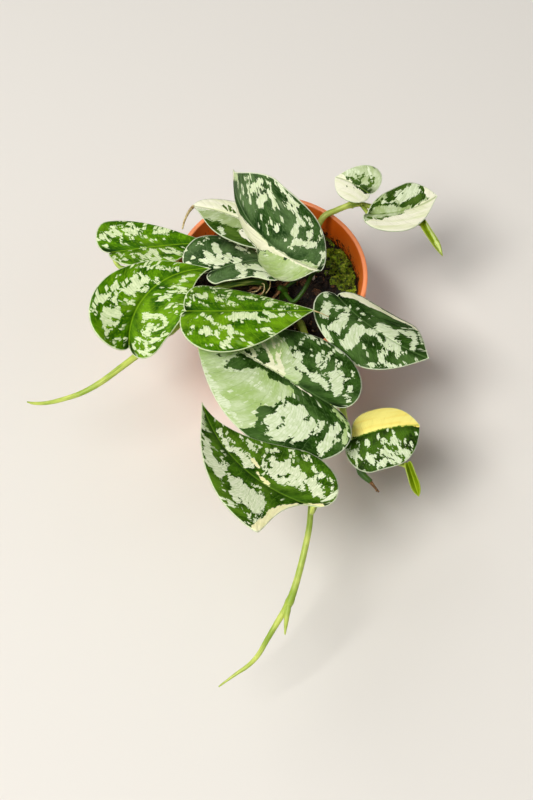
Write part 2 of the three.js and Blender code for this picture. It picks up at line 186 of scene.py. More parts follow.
class Wiring:
    """Adds nodes to one node tree and links them."""

    # Where a Mix node holds its two colours and their blend, next to its other data types.
    FIRST, SECOND, BLEND = 6, 7, 2

    def __init__(self, tree: Tree) -> None:
        """Starts on an empty tree."""
        self.tree = tree
        self.tree.nodes.clear()

    def feed(self, socket: Socket, value: object) -> None:
        """Feeds one input.

        Args:
            socket: The input.
            value: The socket to link it to, or its own value.
        """
        if isinstance(value, Socket):
            self.tree.links.new(value, socket)
        elif isinstance(value, tuple) and len(value) == 3 and socket.type == "RGBA":
            socket.default_value = (*value, 1.0)
        else:
            socket.default_value = value

    def node(self, kind: str, inputs: Feeds = None, **settings: object) -> bpy.types.Node:
        """Adds a node.

        Args:
            kind: Its type.
            inputs: What feeds its inputs, by their names or numbers.
            **settings: Its properties.

        Returns:
            The node.
        """
        made = self.tree.nodes.new(kind)
        for name, value in settings.items():
            setattr(made, name, value)
        for label, value in (inputs or {}).items():
            self.feed(made.inputs[label], value)
        return made

    def maths(self, operation: str, *values: object) -> Socket:
        """Adds a Math node with its inputs and returns its output."""
        return self.node("ShaderNodeMath", dict(enumerate(values)), operation=operation).outputs[0]

    def line(self, value: object, slope: object, base: object) -> Socket:
        """Returns value * slope + base."""
        return self.maths("MULTIPLY_ADD", value, slope, base)

    def blend(self, share: object, first: object, second: object) -> Socket:
        """Mixes two colours by a share and returns the colour."""
        inputs = {0: share, self.FIRST: first, self.SECOND: second}
        return self.node("ShaderNodeMix", inputs, data_type="RGBA").outputs[self.BLEND]

    def tinge(self, colour: object, mask: object, strength: object, other: object) -> Socket:
        """Blends a colour towards another, by a strength where a mask is whole."""
        return self.blend(self.maths("MULTIPLY", mask, strength), colour, other)

    def ramp(self, value: object, low: float, high: float) -> Socket:
        """Maps low to 0 and high to 1, smoothly and held between them."""
        inputs = {"Value": value, "From Min": low, "From Max": high}
        return self.node("ShaderNodeMapRange", inputs, interpolation_type="SMOOTHSTEP").outputs["Result"]

    def fade(self, value: object, low: float, high: float) -> Socket:
        """Maps low to 1 and high to 0, smoothly and held between them."""
        return self.maths("SUBTRACT", 1.0, self.ramp(value, low, high))

    def radius(self, x: object, y: object) -> Socket:
        """Returns how far the place (x, y) lies from the middle."""
        return self.maths("SQRT", self.maths("ADD", self.maths("POWER", x, 2.0), self.maths("POWER", y, 2.0)))

    def stretched(self, vector: object, scale: Spot, shift: Spot = (0.0, 0.0, 0.0)) -> Socket:
        """Scales a vector along each axis, then shifts it."""
        inputs = {0: vector, 1: scale, 2: shift}
        return self.node("ShaderNodeVectorMath", inputs, operation="MULTIPLY_ADD").outputs[0]

    def mottle(self, vector: object, scale: object, detail: float = 3.0) -> Socket:
        """Adds a noise texture and returns its value."""
        inputs = {"Vector": vector, "Scale": scale, "Detail": detail}
        return self.node("ShaderNodeTexNoise", inputs).outputs[0]

    def cells(self, vector: object, scale: float) -> tuple[Socket, Socket]:
        """Adds blocky cells.

        Args:
            vector: The place.
            scale: How many there are in one unit of it.

        Returns:
            A random value for each cell, and the distance to its middle.
        """
        inputs = {"Vector": vector, "Scale": scale, "Randomness": 0.85}
        made = self.node("ShaderNodeTexVoronoi", inputs, distance="CHEBYCHEV")
        split = self.node("ShaderNodeSeparateColor", {0: made.outputs["Color"]})
        return split.outputs[0], made.outputs["Distance"]

    def parts(self, vector: object) -> tuple[Socket, ...]:
        """Splits a vector into its three parts."""
        return tuple(self.node("ShaderNodeSeparateXYZ", {0: vector}).outputs)

    def uv(self, name: str) -> Socket:
        """Reads one of the piece's UV maps."""
        return self.node("ShaderNodeUVMap", uv_map=name).outputs[0]

    def place(self) -> Socket:
        """Reads the object coordinates."""
        return self.node("ShaderNodeTexCoord").outputs["Object"]

    def marks(self) -> tuple[Socket, ...]:
        """Reads the four channels of the attribute "marks".

        Returns:
            The channels in the order of Mark.
        """
        paint = self.node("ShaderNodeAttribute", attribute_name="marks")
        split = self.node("ShaderNodeSeparateColor", {0: paint.outputs["Color"]})
        return (*split.outputs, paint.outputs["Alpha"])

    def bump(self, height: object, distance: float) -> Socket:
        """Adds a bump node whose distance is in millimetres and returns its normal."""
        return self.node("ShaderNodeBump", {"Height": height, "Distance": distance * MM}).outputs[0]

    def group(self, tree: Tree, **values: object) -> Sockets:
        """Places a node group, feeds its inputs by name and returns its outputs by name."""
        return {s.name: s for s in self.node("ShaderNodeGroup", values, node_tree=tree).outputs}

    def surface(self, values: dict[str, object]) -> None:
        """Ends the tree in a Principled BSDF whose sockets are fed by name."""
        shader = self.node("ShaderNodeBsdfPrincipled", values)
        self.node("ShaderNodeOutputMaterial", {"Surface": shader.outputs[0]})


def new_material(name: str) -> tuple[Material, Wiring]:
    """Makes a material.

    Args:
        name: Its name.

    Returns:
        The material and the wiring of its empty tree.
    """
    material = bpy.data.materials.new(name)
    material.use_nodes = True
    return material, Wiring(material.node_tree)


def new_group(name: str, inputs: dict[str, str], outputs: Iterable[str]) -> tuple[Wiring, Sockets, Sockets]:
    """Starts a shader node group.

    Args:
        name: The group's name.
        inputs: Socket types by input name.
        outputs: The names of its outputs, which are all values.

    Returns:
        The group's wiring, its inputs by name and its outputs by name.
    """
    tree = bpy.data.node_groups.new(name, "ShaderNodeTree")
    for label, kind in inputs.items():
        tree.interface.new_socket(name=label, in_out="INPUT", socket_type=kind)
    for label in outputs:
        tree.interface.new_socket(name=label, in_out="OUTPUT", socket_type=FLOAT)
    wiring = Wiring(tree)
    entry = wiring.node("NodeGroupInput")
    leave = wiring.node("NodeGroupOutput")
    return wiring, {s.name: s for s in entry.outputs}, {s.name: s for s in leave.inputs}


class Effects:
    """The node groups that several finishes share, each built once, when it is first used."""

    @staticmethod
    @cache
    def splash() -> Tree:
        """Builds a marking whose edge steps along the veins' small cells.

        Returns:
            The group, whose mask covers what lies inside by Field millimetres, more or less torn.
        """
        inputs = {"Vein": VECTOR, "Field": FLOAT, "Ragged": FLOAT}
        w, entry, leave = new_group("ragged splash", inputs, ["Mask"])
        along = w.stretched(entry["Vein"], (1.0, 0.45, 1.0))
        blocks, _ = w.cells(along, 0.45)
        flakes, _ = w.cells(along, 1.15)
        waves = w.mottle(along, 0.25, 3.0)
        torn = 0.0
        for part, reach in ((blocks, 1.8), (flakes, 1.5), (waves, 3.8)):
            torn = w.line(w.maths("SUBTRACT", part, 0.5), reach, torn)
        total = w.line(torn, entry["Ragged"], entry["Field"])
        w.feed(leave["Mask"], w.ramp(total, -0.1, 0.1))
        return w.tree

    @staticmethod
    @cache
    def flecks() -> Tree:
        """Builds small loose flecks that lie along the veins.

        Returns:
            The group, whose mask covers the flecks.
        """
        inputs = {"Vein": VECTOR, "Amount": FLOAT}
        w, entry, leave = new_group("loose flecks", inputs, ["Mask"])
        along = w.stretched(entry["Vein"], (1.0, 0.5, 1.0), (31.0, 17.0, 0.0))
        chance, middle = w.cells(along, 0.5)
        drift = w.mottle(along, 0.09, 1.0)
        likely = w.maths("MULTIPLY", entry["Amount"], w.ramp(drift, 0.4, 0.65))
        keep = w.maths("LESS_THAN", chance, likely)
        w.feed(leave["Mask"], w.maths("MULTIPLY", keep, w.fade(middle, 0.28, 0.36)))
        return w.tree

    @staticmethod
    @cache
    def veins() -> Tree:
        """Builds the arching lateral veins, the fine ones between them and their net.

        Returns:
            The group, with a mask for each of them and the height of the relief.
        """
        w, entry, leave = new_group("lateral veins", {"Vein": VECTOR}, ["Line", "Fine", "Net", "Height"])
        run, _, _ = w.parts(entry["Vein"])
        wander = w.maths("MULTIPLY", w.mottle(entry["Vein"], 0.12, 2.0), 3.0)
        phase = w.maths("MULTIPLY", w.maths("ADD", run, wander), math.pi / VEIN_SPACING)
        wave = w.maths("ABSOLUTE", w.maths("SINE", phase))
        line = w.fade(wave, 0.0, 0.13)
        fine = w.maths("ABSOLUTE", w.maths("SINE", w.maths("MULTIPLY", phase, 5.0)))
        _, net = w.cells(w.stretched(entry["Vein"], (1.0, 0.55, 1.0)), 0.8)
        height = w.maths("MULTIPLY", w.maths("POWER", wave, 0.5), 0.55)
        height = w.line(fine, 0.12, height)
        w.feed(leave["Line"], line)
        w.feed(leave["Fine"], w.fade(fine, 0.1, 0.6))
        w.feed(leave["Net"], w.ramp(net, 0.3, 0.55))
        w.feed(leave["Height"], w.line(net, -0.5, height))
        return w.tree

    @staticmethod
    @cache
    def crumble() -> Tree:
        """Builds crumbled earth or bark.

        Returns:
            The group, with the tone and the height of the crumbs.
        """
        inputs = {"Place": VECTOR, "Scale": FLOAT}
        w, entry, leave = new_group("crumble", inputs, ["Tone", "Height"])
        coarse = w.mottle(entry["Place"], entry["Scale"], 6.0)
        grit = w.mottle(entry["Place"], w.maths("MULTIPLY", entry["Scale"], 6.0), 2.0)
        w.feed(leave["Tone"], w.ramp(coarse, 0.35, 0.68))
        w.feed(leave["Height"], w.line(grit, 0.5, coarse))
        return w.tree


# ---- Leaf blades ----


class Mark(Enum):
    """The kinds of marking on a blade, by their channel of the attribute "marks"."""

    SILVER = 0
    MINT = 1
    CREAM = 2
    GREEN = 3


# How torn each marking's edge is, and how far each one's seed is shifted along the veins.
RAGGED = {Mark.SILVER: 1.0, Mark.MINT: 1.0, Mark.CREAM: 0.4, Mark.GREEN: 0.7}
SEED_SHIFT = 40.0


@dataclass(frozen=True)
class LeafFinish:
    """The colours of one kind of blade.

    Attributes:
        name: What its materials are called.
        slot: The material slot of the record; not used.
        green: The main green.
        shade: The darker green that drifts through it, also painted as shade in the midrib's valley and,
            darker still, where the petiole meets the blade.
        glow: The lighter green beside the veins, also painted as a satin sheen in broad patches.
        silver: The satin splashes.
        mint: The large pale sectors.
        cream: The parts without green.
        blush: What drifts through the cream.
        flecks: How many loose flecks there are, from 0 to 1.
        throat_shade: How much painted shade darkens the hollow where the petiole meets the blade, from 0 to
            1.
    """

    name: str
    slot: str
    green: Rgb
    shade: Rgb
    glow: Rgb
    silver: Rgb = tint(220, 229, 198)
    mint: Rgb = tint(162, 188, 114)
    cream: Rgb = tint(242, 240, 208)
    blush: Rgb = tint(208, 216, 158)
    flecks: float = 0.45
    throat_shade: float = 0.75

    @cache
    def materials(self) -> tuple[Material, ...]:
        """Returns the materials of the upper side, the underside and the margin, built once."""
        return self.top(), self.underside(), self.margin()

    def top(self) -> Material:
        """Builds the satin upper side.

        Returns:
            The material, which reads the maps "vein" and "edge" and the attribute "marks".
        """
        material, w = new_material(f"{self.name}_top")
        vein = w.uv("vein")
        to_edge, to_rib, _ = w.parts(w.uv("edge"))
        painted = w.marks()
        ribs = w.group(Effects.veins(), Vein=vein)

        grain = w.mottle(vein, 2.2, 3.0)
        drift = w.ramp(w.mottle(vein, 0.11, 4.0), 0.32, 0.68)
        green = w.blend(drift, self.shade, self.green)
        green = w.tinge(green, w.ramp(w.mottle(vein, 0.9, 3.0), 0.45, 0.75), 0.4, self.glow)
        green = w.tinge(green, ribs["Net"], 0.4, self.shade)
        green = w.tinge(green, ribs["Line"], 0.3, self.glow)
        # Painted satin sheen: broad patches lightened towards glow.
        green = w.tinge(green, w.ramp(w.mottle(vein, 0.055, 3.0), 0.42, 0.66), 0.4, self.glow)
        near_rib = w.maths("ABSOLUTE", to_rib)
        # Painted shade in the valley along the midrib.
        green = w.tinge(green, w.fade(near_rib, 0.8, 5.0), 0.5, self.shade)
        # Painted shade: the hollow where the petiole meets the blade is darkened to near black.
        course, side, _ = w.parts(vein)
        way = w.radius(course, side)
        funnel_shade = w.fade(w.line(grain, 3.0, way), 2.5, 10.0)
        funnel_shade = w.maths("MULTIPLY", funnel_shade, self.throat_shade)
        hollow_shade = tuple(0.25 * part for part in self.shade)
        green = w.blend(funnel_shade, green, hollow_shade)

        masks = {}
        for mark, ragged in RAGGED.items():
            inset = -0.3 if mark is Mark.SILVER else 0.0
            inside = w.line(painted[mark.value], MARK_UNIT, inset)
            seed = w.stretched(vein, (1.0, 1.0, 1.0), (SEED_SHIFT * mark.value, 0.0, 0.0))
            masks[mark] = w.group(Effects.splash(), Vein=seed, Field=inside, Ragged=ragged)["Mask"]
        loose = w.group(Effects.flecks(), Vein=vein, Amount=self.flecks)["Mask"]
        loose = w.maths("MULTIPLY", loose, w.ramp(near_rib, 2.0, 5.0))
        silver = w.maths("MAXIMUM", masks[Mark.SILVER], loose)

        milk = w.ramp(w.mottle(w.stretched(vein, (1.0, 0.5, 1.0)), 0.1, 6.0), 0.4, 0.62)
        drops = w.ramp(w.mottle(w.stretched(vein, (1.0, 0.35, 1.0)), 0.9, 4.0), 0.5, 0.7)
        mint = w.tinge(self.mint, milk, 0.55, self.silver)
        mint = w.tinge(mint, drops, 0.35, self.silver)
        mint = w.tinge(mint, ribs["Net"], 0.3, self.mint)
        mint = w.tinge(mint, ribs["Line"], 0.25, self.glow)
        satin = w.tinge(self.silver, ribs["Line"], 0.45, self.mint)
        satin = w.tinge(satin, ribs["Fine"], 0.3, self.mint)
        satin = w.tinge(satin, w.maths("MAXIMUM", drops, ribs["Net"]), 0.32, self.mint)
        streaks = w.ramp(w.mottle(w.stretched(vein, (0.14, 1.0, 1.0)), 0.3, 3.0), 0.4, 0.72)
        cream = w.tinge(self.cream, streaks, 0.6, self.blush)

        colour = w.blend(masks[Mark.MINT], green, mint)
        colour = w.blend(silver, colour, satin)
        # The painted shade at the petiole's hollow is laid again over the markings.
        colour = w.blend(funnel_shade, colour, hollow_shade)
        colour = w.blend(masks[Mark.CREAM], colour, cream)
        colour = w.blend(masks[Mark.GREEN], colour, green)
        colour = w.tinge(colour, w.fade(near_rib, 0.25, 0.8), 0.5, self.glow)
        frayed = w.line(w.mottle(vein, 0.6, 2.0), -0.5, to_edge)
        colour = w.tinge(colour, w.fade(frayed, 0.1, 0.5), 0.85, self.silver)

        height = w.line(grain, 0.3, ribs["Height"])
        rough = w.line(grain, 0.16, 0.38)
        w.surface({
            "Base Color": colour,
            "Roughness": rough,
            "Normal": w.bump(height, 0.32),
            "Specular IOR Level": 0.06,
        })
        return material

    def underside(self) -> Material:
        """Builds the matt, paler underside, where the markings only show faintly.

        Returns:
            The material, which reads the maps "vein" and "edge" and the attribute "marks".
        """
        material, w = new_material(f"{self.name}_underside")
        vein = w.uv("vein")
        _, to_rib, _ = w.parts(w.uv("edge"))
        painted = w.marks()
        ribs = w.group(Effects.veins(), Vein=vein)
        drift = w.ramp(w.mottle(vein, 0.13, 4.0), 0.3, 0.7)
        pale = tuple(mix(dark, light, 0.35) for dark, light in zip(self.glow, self.mint))
        colour = w.blend(drift, self.glow, pale)
        shown = {Mark.SILVER: (0.4, self.mint), Mark.MINT: (0.4, self.mint), Mark.CREAM: (0.9, self.cream)}
        for mark, (strength, shade) in shown.items():
            inside = w.maths("MULTIPLY", painted[mark.value], MARK_UNIT)
            mask = w.group(Effects.splash(), Vein=vein, Field=inside, Ragged=0.8)["Mask"]
            colour = w.tinge(colour, mask, strength, shade)
        colour = w.tinge(colour, w.fade(w.maths("ABSOLUTE", to_rib), 0.5, 1.3), 0.6, self.mint)
        w.surface({
            "Base Color": colour,
            "Roughness": w.line(drift, 0.1, 0.55),
            "Normal": w.bump(w.maths("MULTIPLY", ribs["Height"], -1.0), 0.2),
        })
        return material

    def margin(self) -> Material:
        """Builds the thin glassy edge of the blade.

        Returns:
            The material, which reads the map "vein".
        """
        material, w = new_material(f"{self.name}_margin")
        spots = w.mottle(w.uv("vein"), 0.7, 3.0)
        w.surface({
            "Base Color": w.blend(spots, self.silver, self.mint),
            "Roughness": w.line(spots, 0.2, 0.35),
        })
        return material


class LeafKind(Enum):
    """The finishes of the blades."""

    DEEP = LeafFinish("deep", "leaf_deep", tint(50, 86, 18), tint(18, 44, 2), tint(98, 130, 70))
    # HAZY's pale bluish glow is largely a painted satin sheen.
    HAZY = LeafFinish(
        "hazy", "leaf_deep", tint(58, 94, 32), tint(22, 52, 12), tint(124, 152, 100),
        silver=tint(232, 239, 208), mint=tint(174, 198, 122),
    )
    BRIGHT = LeafFinish(
        "bright", "leaf_bright", tint(90, 146, 0), tint(28, 74, 0), tint(140, 184, 30),
        silver=tint(226, 237, 192), flecks=0.62,
    )
    MEADOW = LeafFinish(
        "meadow", "leaf_bright", tint(62, 106, 8), tint(24, 56, 0), tint(112, 152, 40),
        silver=tint(232, 238, 206), cream=tint(246, 240, 190), blush=tint(226, 224, 150),
    )
    PALE = LeafFinish(
        "pale", "leaf_pale", tint(52, 86, 12), tint(28, 58, 2), tint(108, 136, 54),
        mint=tint(148, 168, 104), cream=tint(238, 236, 212), flecks=0.2,
    )
    YELLOW = LeafFinish(
        "yellow", "leaf_yellow", tint(46, 82, 6), tint(12, 30, 0), tint(96, 140, 30),
        cream=tint(246, 234, 132), blush=tint(236, 206, 76), flecks=0.3, throat_shade=0.0,
    )
    FRESH = LeafFinish(
        "fresh", "leaf_bright", tint(150, 174, 10), tint(112, 138, 4), tint(178, 194, 52),
        silver=tint(168, 188, 60), mint=tint(150, 168, 60), cream=tint(220, 230, 160), flecks=0.0, throat_shade=0.0,
    )


@dataclass(frozen=True)
class Nip:
    """A place where the margin of one half draws in.

    Attributes:
        half: 0 for the left half and 1 for the right one.
        span: Where along the margin it starts, is whole, fades and ends, from 0 at the sinus to 1.
        depth: The share of the width that it takes.
    """

    half: int
    span: Knot
    depth: float

    def share(self, half: int, t: float) -> float:
        """Finds how much of the width is left.

        Args:
            half: The half, 0 or 1.
            t: The place along its margin.

        Returns:
            The share of the width.
        """
        start, whole, fade, end = self.span
        rise, fall = clamp((t - start) / (whole - start)), clamp((t - fade) / (end - fade))
        window = rise**2 * (3 - 2 * rise) * (1 - fall**2 * (3 - 2 * fall))
        return 1 - self.depth * window if half == self.half else 1.0


@dataclass
class BladeForm:
    """The shape of a blade in millimetres and degrees, which grows from base along its midrib.

    Attributes:
        base: Where the petiole meets it.
        length: The midrib's length.
        heading: The midrib's turn about +Z at the base; sweep is how much it gains by the tip.
        pitch: The midrib's rise at the base; droop is how much it loses by the tip.
        roll: How far the left side is raised; twist is how much it gains by the tip.
        width: Each half's width, left then right, as in every pair below.
        lobe: How far each half's lobe reaches back.
        widest: Where each half is widest, as a share of the length.
        full: How full each half stays by the tip.
        fold: Each half's rise from the midrib at the base and at the tip.
        curl: The angle that each half gains out to its margin.
        blunt: How far back each half's tip starts to close.
        nips: Places where one half's margin draws in.
    """

    base: Spot
    length: float
    heading: float
    pitch: float
    roll: float
    droop: float
    sweep: float
    twist: float
    width: Pair
    lobe: Pair
    widest: Pair
    full: Pair
    fold: tuple[Pair, Pair]
    curl: Pair
    blunt: Pair = (0.3, 0.3)
    nips: tuple[Nip, ...] = ()
    spine: list[Vector] = field(init=False)

    # Steps along the midrib, then how far the outline's curves pull: at the sinus and the lobe in
    # lobes, at the heel in widths, and past the widest place in the length beyond it.
    SPINE_STEPS = 32
    SINUS_PULL = 1.6
    LOBE_PULL = 1.15
    HEEL = 0.06
    SHOULDER = 0.42

    def __post_init__(self) -> None:
        """Steps along the midrib to find its course."""
        self.spine = [Vector(self.base)]
        step = self.length / self.SPINE_STEPS
        for i in range(self.SPINE_STEPS):
            along, _, _ = self.axes((i + 0.5) * step)
            self.spine.append(self.spine[i] + along * step)

    def axes(self, x: float) -> tuple[Vector, Vector, Vector]:
        """Finds the blade's directions at a place on the midrib.

        Args:
            x: Distance along the midrib.

        Returns:
            The unit vectors along, left and up.
        """
        k = clamp(x / self.length)
        heading = math.radians(self.heading + self.sweep * k)
        pitch = math.radians(self.pitch - self.droop * k)
        roll = math.radians(self.roll + self.twist * k)
        reach = math.cos(pitch)
        along = Vector((reach * math.cos(heading), reach * math.sin(heading), math.sin(pitch)))
        level = Vector((-math.sin(heading), math.cos(heading), 0))
        left = Matrix.Rotation(roll, 3, along) @ level
        return along, left, along.cross(left)

    def spine_point(self, x: float) -> Vector:
        """Finds a place on the midrib.

        Args:
            x: Distance along the midrib, which may lie beyond its ends.

        Returns:
            The place in millimetres.
        """
        k = clamp(x / self.length)
        i = min(int(k * self.SPINE_STEPS), self.SPINE_STEPS - 1)
        point = self.spine[i].lerp(self.spine[i + 1], k * self.SPINE_STEPS - i)
        return point + self.axes(x)[0] * (x - k * self.length)

    def point(self, x: float, y: float, lift: float = 0.0) -> Vector:
        """Bends the flat place (x, y), y positive to the left, into space.

        Args:
            x: Distance along the midrib.
            y: Distance from the midrib.
            lift: Distance above the blade.

        Returns:
            The place in millimetres.
        """
        half = 0 if y >= 0 else 1
        side = 1 - 2 * half
        k = clamp(x / self.length)
        fold = math.radians(mix(*self.fold[half], k))
        radius = self.width[half] / math.radians(self.curl[half])
        angle = fold + abs(y) / radius
        sideways = (math.sin(angle) - math.sin(fold)) * radius
        upwards = (math.cos(fold) - math.cos(angle)) * radius
        _, left, up = self.axes(x)
        slope = side * angle
        if y == 0:
            slope = math.radians(mix(*self.fold[0], k) - mix(*self.fold[1], k)) / 2
        point = self.spine_point(x)
        point += left * (side * sideways - lift * math.sin(slope))
        return point + up * (upwards + lift * math.cos(slope))

    def outline(self, half: int, t: float) -> Pair:
        """Follows the margin of one half.

        Args:
            half: The half, 0 or 1.
            t: The place along it, from the sinus at 0 to the tip at 1.

        Returns:
            The flat place (x, y), with y positive on both halves.
        """
        width, lobe, length = self.width[half], self.lobe[half], self.length
        drawn = math.prod(nip.share(half, t) for nip in self.nips)
        widest = self.widest[half] * length
        rest = length - widest
        if t < 0.5:
            sinus = (-self.SINUS_PULL * lobe, self.HEEL * width)
            knots = ((0, 0), sinus, (-self.LOBE_PULL * lobe, width), (widest, width))
            t = 2 * t
        else:
            tip = (length - self.blunt[half] * rest, self.full[half] * width)
            knots = ((widest, width), (widest + self.SHOULDER * rest, width), tip, (length, 0))
            t = 2 * t - 1
        weights = ((1 - t) ** 3, 3 * (1 - t) ** 2 * t, 3 * (1 - t) * t * t, t**3)
        across = sum(w * k[1] for w, k in zip(weights, knots))
        return sum(w * k[0] for w, k in zip(weights, knots)), across * drawn


@dataclass
class Leaf:
    """One blade with its markings.

    Attributes:
        name: The CAD node that it stands for.
        kind: Its finish.
        form: Its shape.
        marks: Strokes (x, y, x, y, radius) of each marking, in flat millimetres of the blade.
        vein_sweep: How far forward a lateral vein runs by the margin, as a share of the length.
        thickness: The blade's thickness in millimetres.
        mesh_step: The grid's spacing in millimetres.
        ripple: Height of the swelling between two lateral veins in millimetres.
        wave: Height of the margin's slow waves in millimetres.
    """

    name: str
    kind: LeafKind
    form: BladeForm
    marks: dict[Mark, list[Stroke]]
    vein_sweep: float = 0.24
    thickness: float = 0.55
    mesh_step: float = 1.15
    ripple: float = 0.22
    wave: float = 0.5

    # The powers that crowd the grid towards the midrib, bend the veins and round their swellings.
    OUTWARD_BIAS = 1.25
    VEIN_BEND = 1.3
    SWELL_POWER = 0.6

    # In millimetres: the midrib's depth and half width, and how far from it and from the margin the
    # relief is whole; then the noise cells a millimetre of the margin's waves.
    RIB_DEPTH = 0.35
    RIB_REACH = 0.9
    RIB_FADE = 3
    MARGIN_FADE = 2
    WAVE_SCALE = 0.07

    def flat(self, across: float, along: float) -> tuple[float, float, float, float]:
        """Lays a place of the grid on the flat blade.

        Args:
            across: From 0 at the left margin to 1 at the right one.
            along: From 0 at the base to 1 at the tip.

        Returns:
            x, y, the share of the way out to the margin and the margin's distance.
        """
        side = 1 - 2 * across
        if abs(side) < 1e-6:
            side = 0.0
        half = 0 if side >= 0 else 1
        k = abs(side) ** self.OUTWARD_BIAS
        rib = self.form.length * along
        margin_x, margin_y = self.form.outline(half, along)
        reach = math.hypot(margin_x - rib, margin_y)
        return mix(rib, margin_x, k), math.copysign(margin_y * k, side), k, (1 - k) * reach

    def vein_place(self, across: float, along: float) -> Pair:
        """Returns the place in the course of the lateral veins, in millimetres."""
        _, y, k, _ = self.flat(across, along)
        return self.form.length * (along - self.vein_sweep * k**self.VEIN_BEND * math.sin(math.pi * along)), y

    def edge_place(self, across: float, along: float) -> Pair:
        """Returns the distances to the margin and from the midrib, in millimetres."""
        _, y, _, inward = self.flat(across, along)
        return inward, y

    def lift(self, across: float, along: float) -> float:
        """Works out the fine relief of the blade: swellings, midrib and waves.

        Args:
            across: The place across the grid.
            along: The place along it.

        Returns:
            The height over the plain blade in millimetres.
        """
        x, y, k, inward = self.flat(across, along)
        course, _ = self.vein_place(across, along)
        swell = abs(math.sin(math.pi * course / VEIN_SPACING)) ** self.SWELL_POWER - 0.5
        margin_fade = clamp(inward / self.MARGIN_FADE)
        fade = clamp(abs(y) / self.RIB_FADE) * margin_fade
        groove = -self.RIB_DEPTH * math.exp(-((y / self.RIB_REACH) ** 2)) * margin_fade
        place = Vector((x * self.WAVE_SCALE, y * self.WAVE_SCALE, len(self.name) * 1.7))
        roll = self.wave * noise.noise(place) * k**2 * clamp(self.form.width[0] / 12)
        return self.ripple * swell * fade + groove + roll

    def place(self, across: float, along: float) -> Vector:
        """Returns the place in metres of the blade's middle layer."""
        x, y, _, _ = self.flat(across, along)
        return self.form.point(x, y, self.lift(across, along)) * MM

    def marking(self, across: float, along: float) -> tuple[float, float, float, float]:
        """Measures how deep a place lies inside each marking.

        Args:
            across: The place across the grid.
            along: The place along it.

        Returns:
            The four depths in units of MARK_UNIT, negative outside.
        """
        x, y, _, _ = self.flat(across, along)
        depths = [-1.0] * len(Mark)
        for mark, strokes in self.marks.items():
            for x1, y1, x2, y2, radius in strokes:
                run = Vector((x2 - x1, y2 - y1))
                offset = Vector((x - x1, y - y1))
                share = clamp(offset.dot(run) / max(run.length_squared, 1e-9))
                depth = (radius - (offset - run * share).length) / MARK_UNIT
                depths[mark.value] = max(depths[mark.value], depth)
        return tuple(depths)

    def build(self) -> Piece:
        """Builds the blade and dresses it.

        Returns:
            The piece, with its upper side, underside and margin in three slots.
        """
        columns = 2 * max(6, round(max(self.form.width) / self.mesh_step))
        rows = max(14, round(self.form.length / self.mesh_step))
        maps = {"vein": self.vein_place, "edge": self.edge_place}
        bm = bent_grid(columns, rows, self.place, maps, self.marking)
        piece = finished(self.name + "_blade", bm, self.kind.value.materials())
        wall = piece.modifiers.new("wall", "SOLIDIFY")
        wall.thickness = self.thickness * MM
        wall.offset = 0
        wall.material_offset = 1
        wall.material_offset_rim = 2
        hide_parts(self.name)
        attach(piece, BODY)
        return piece


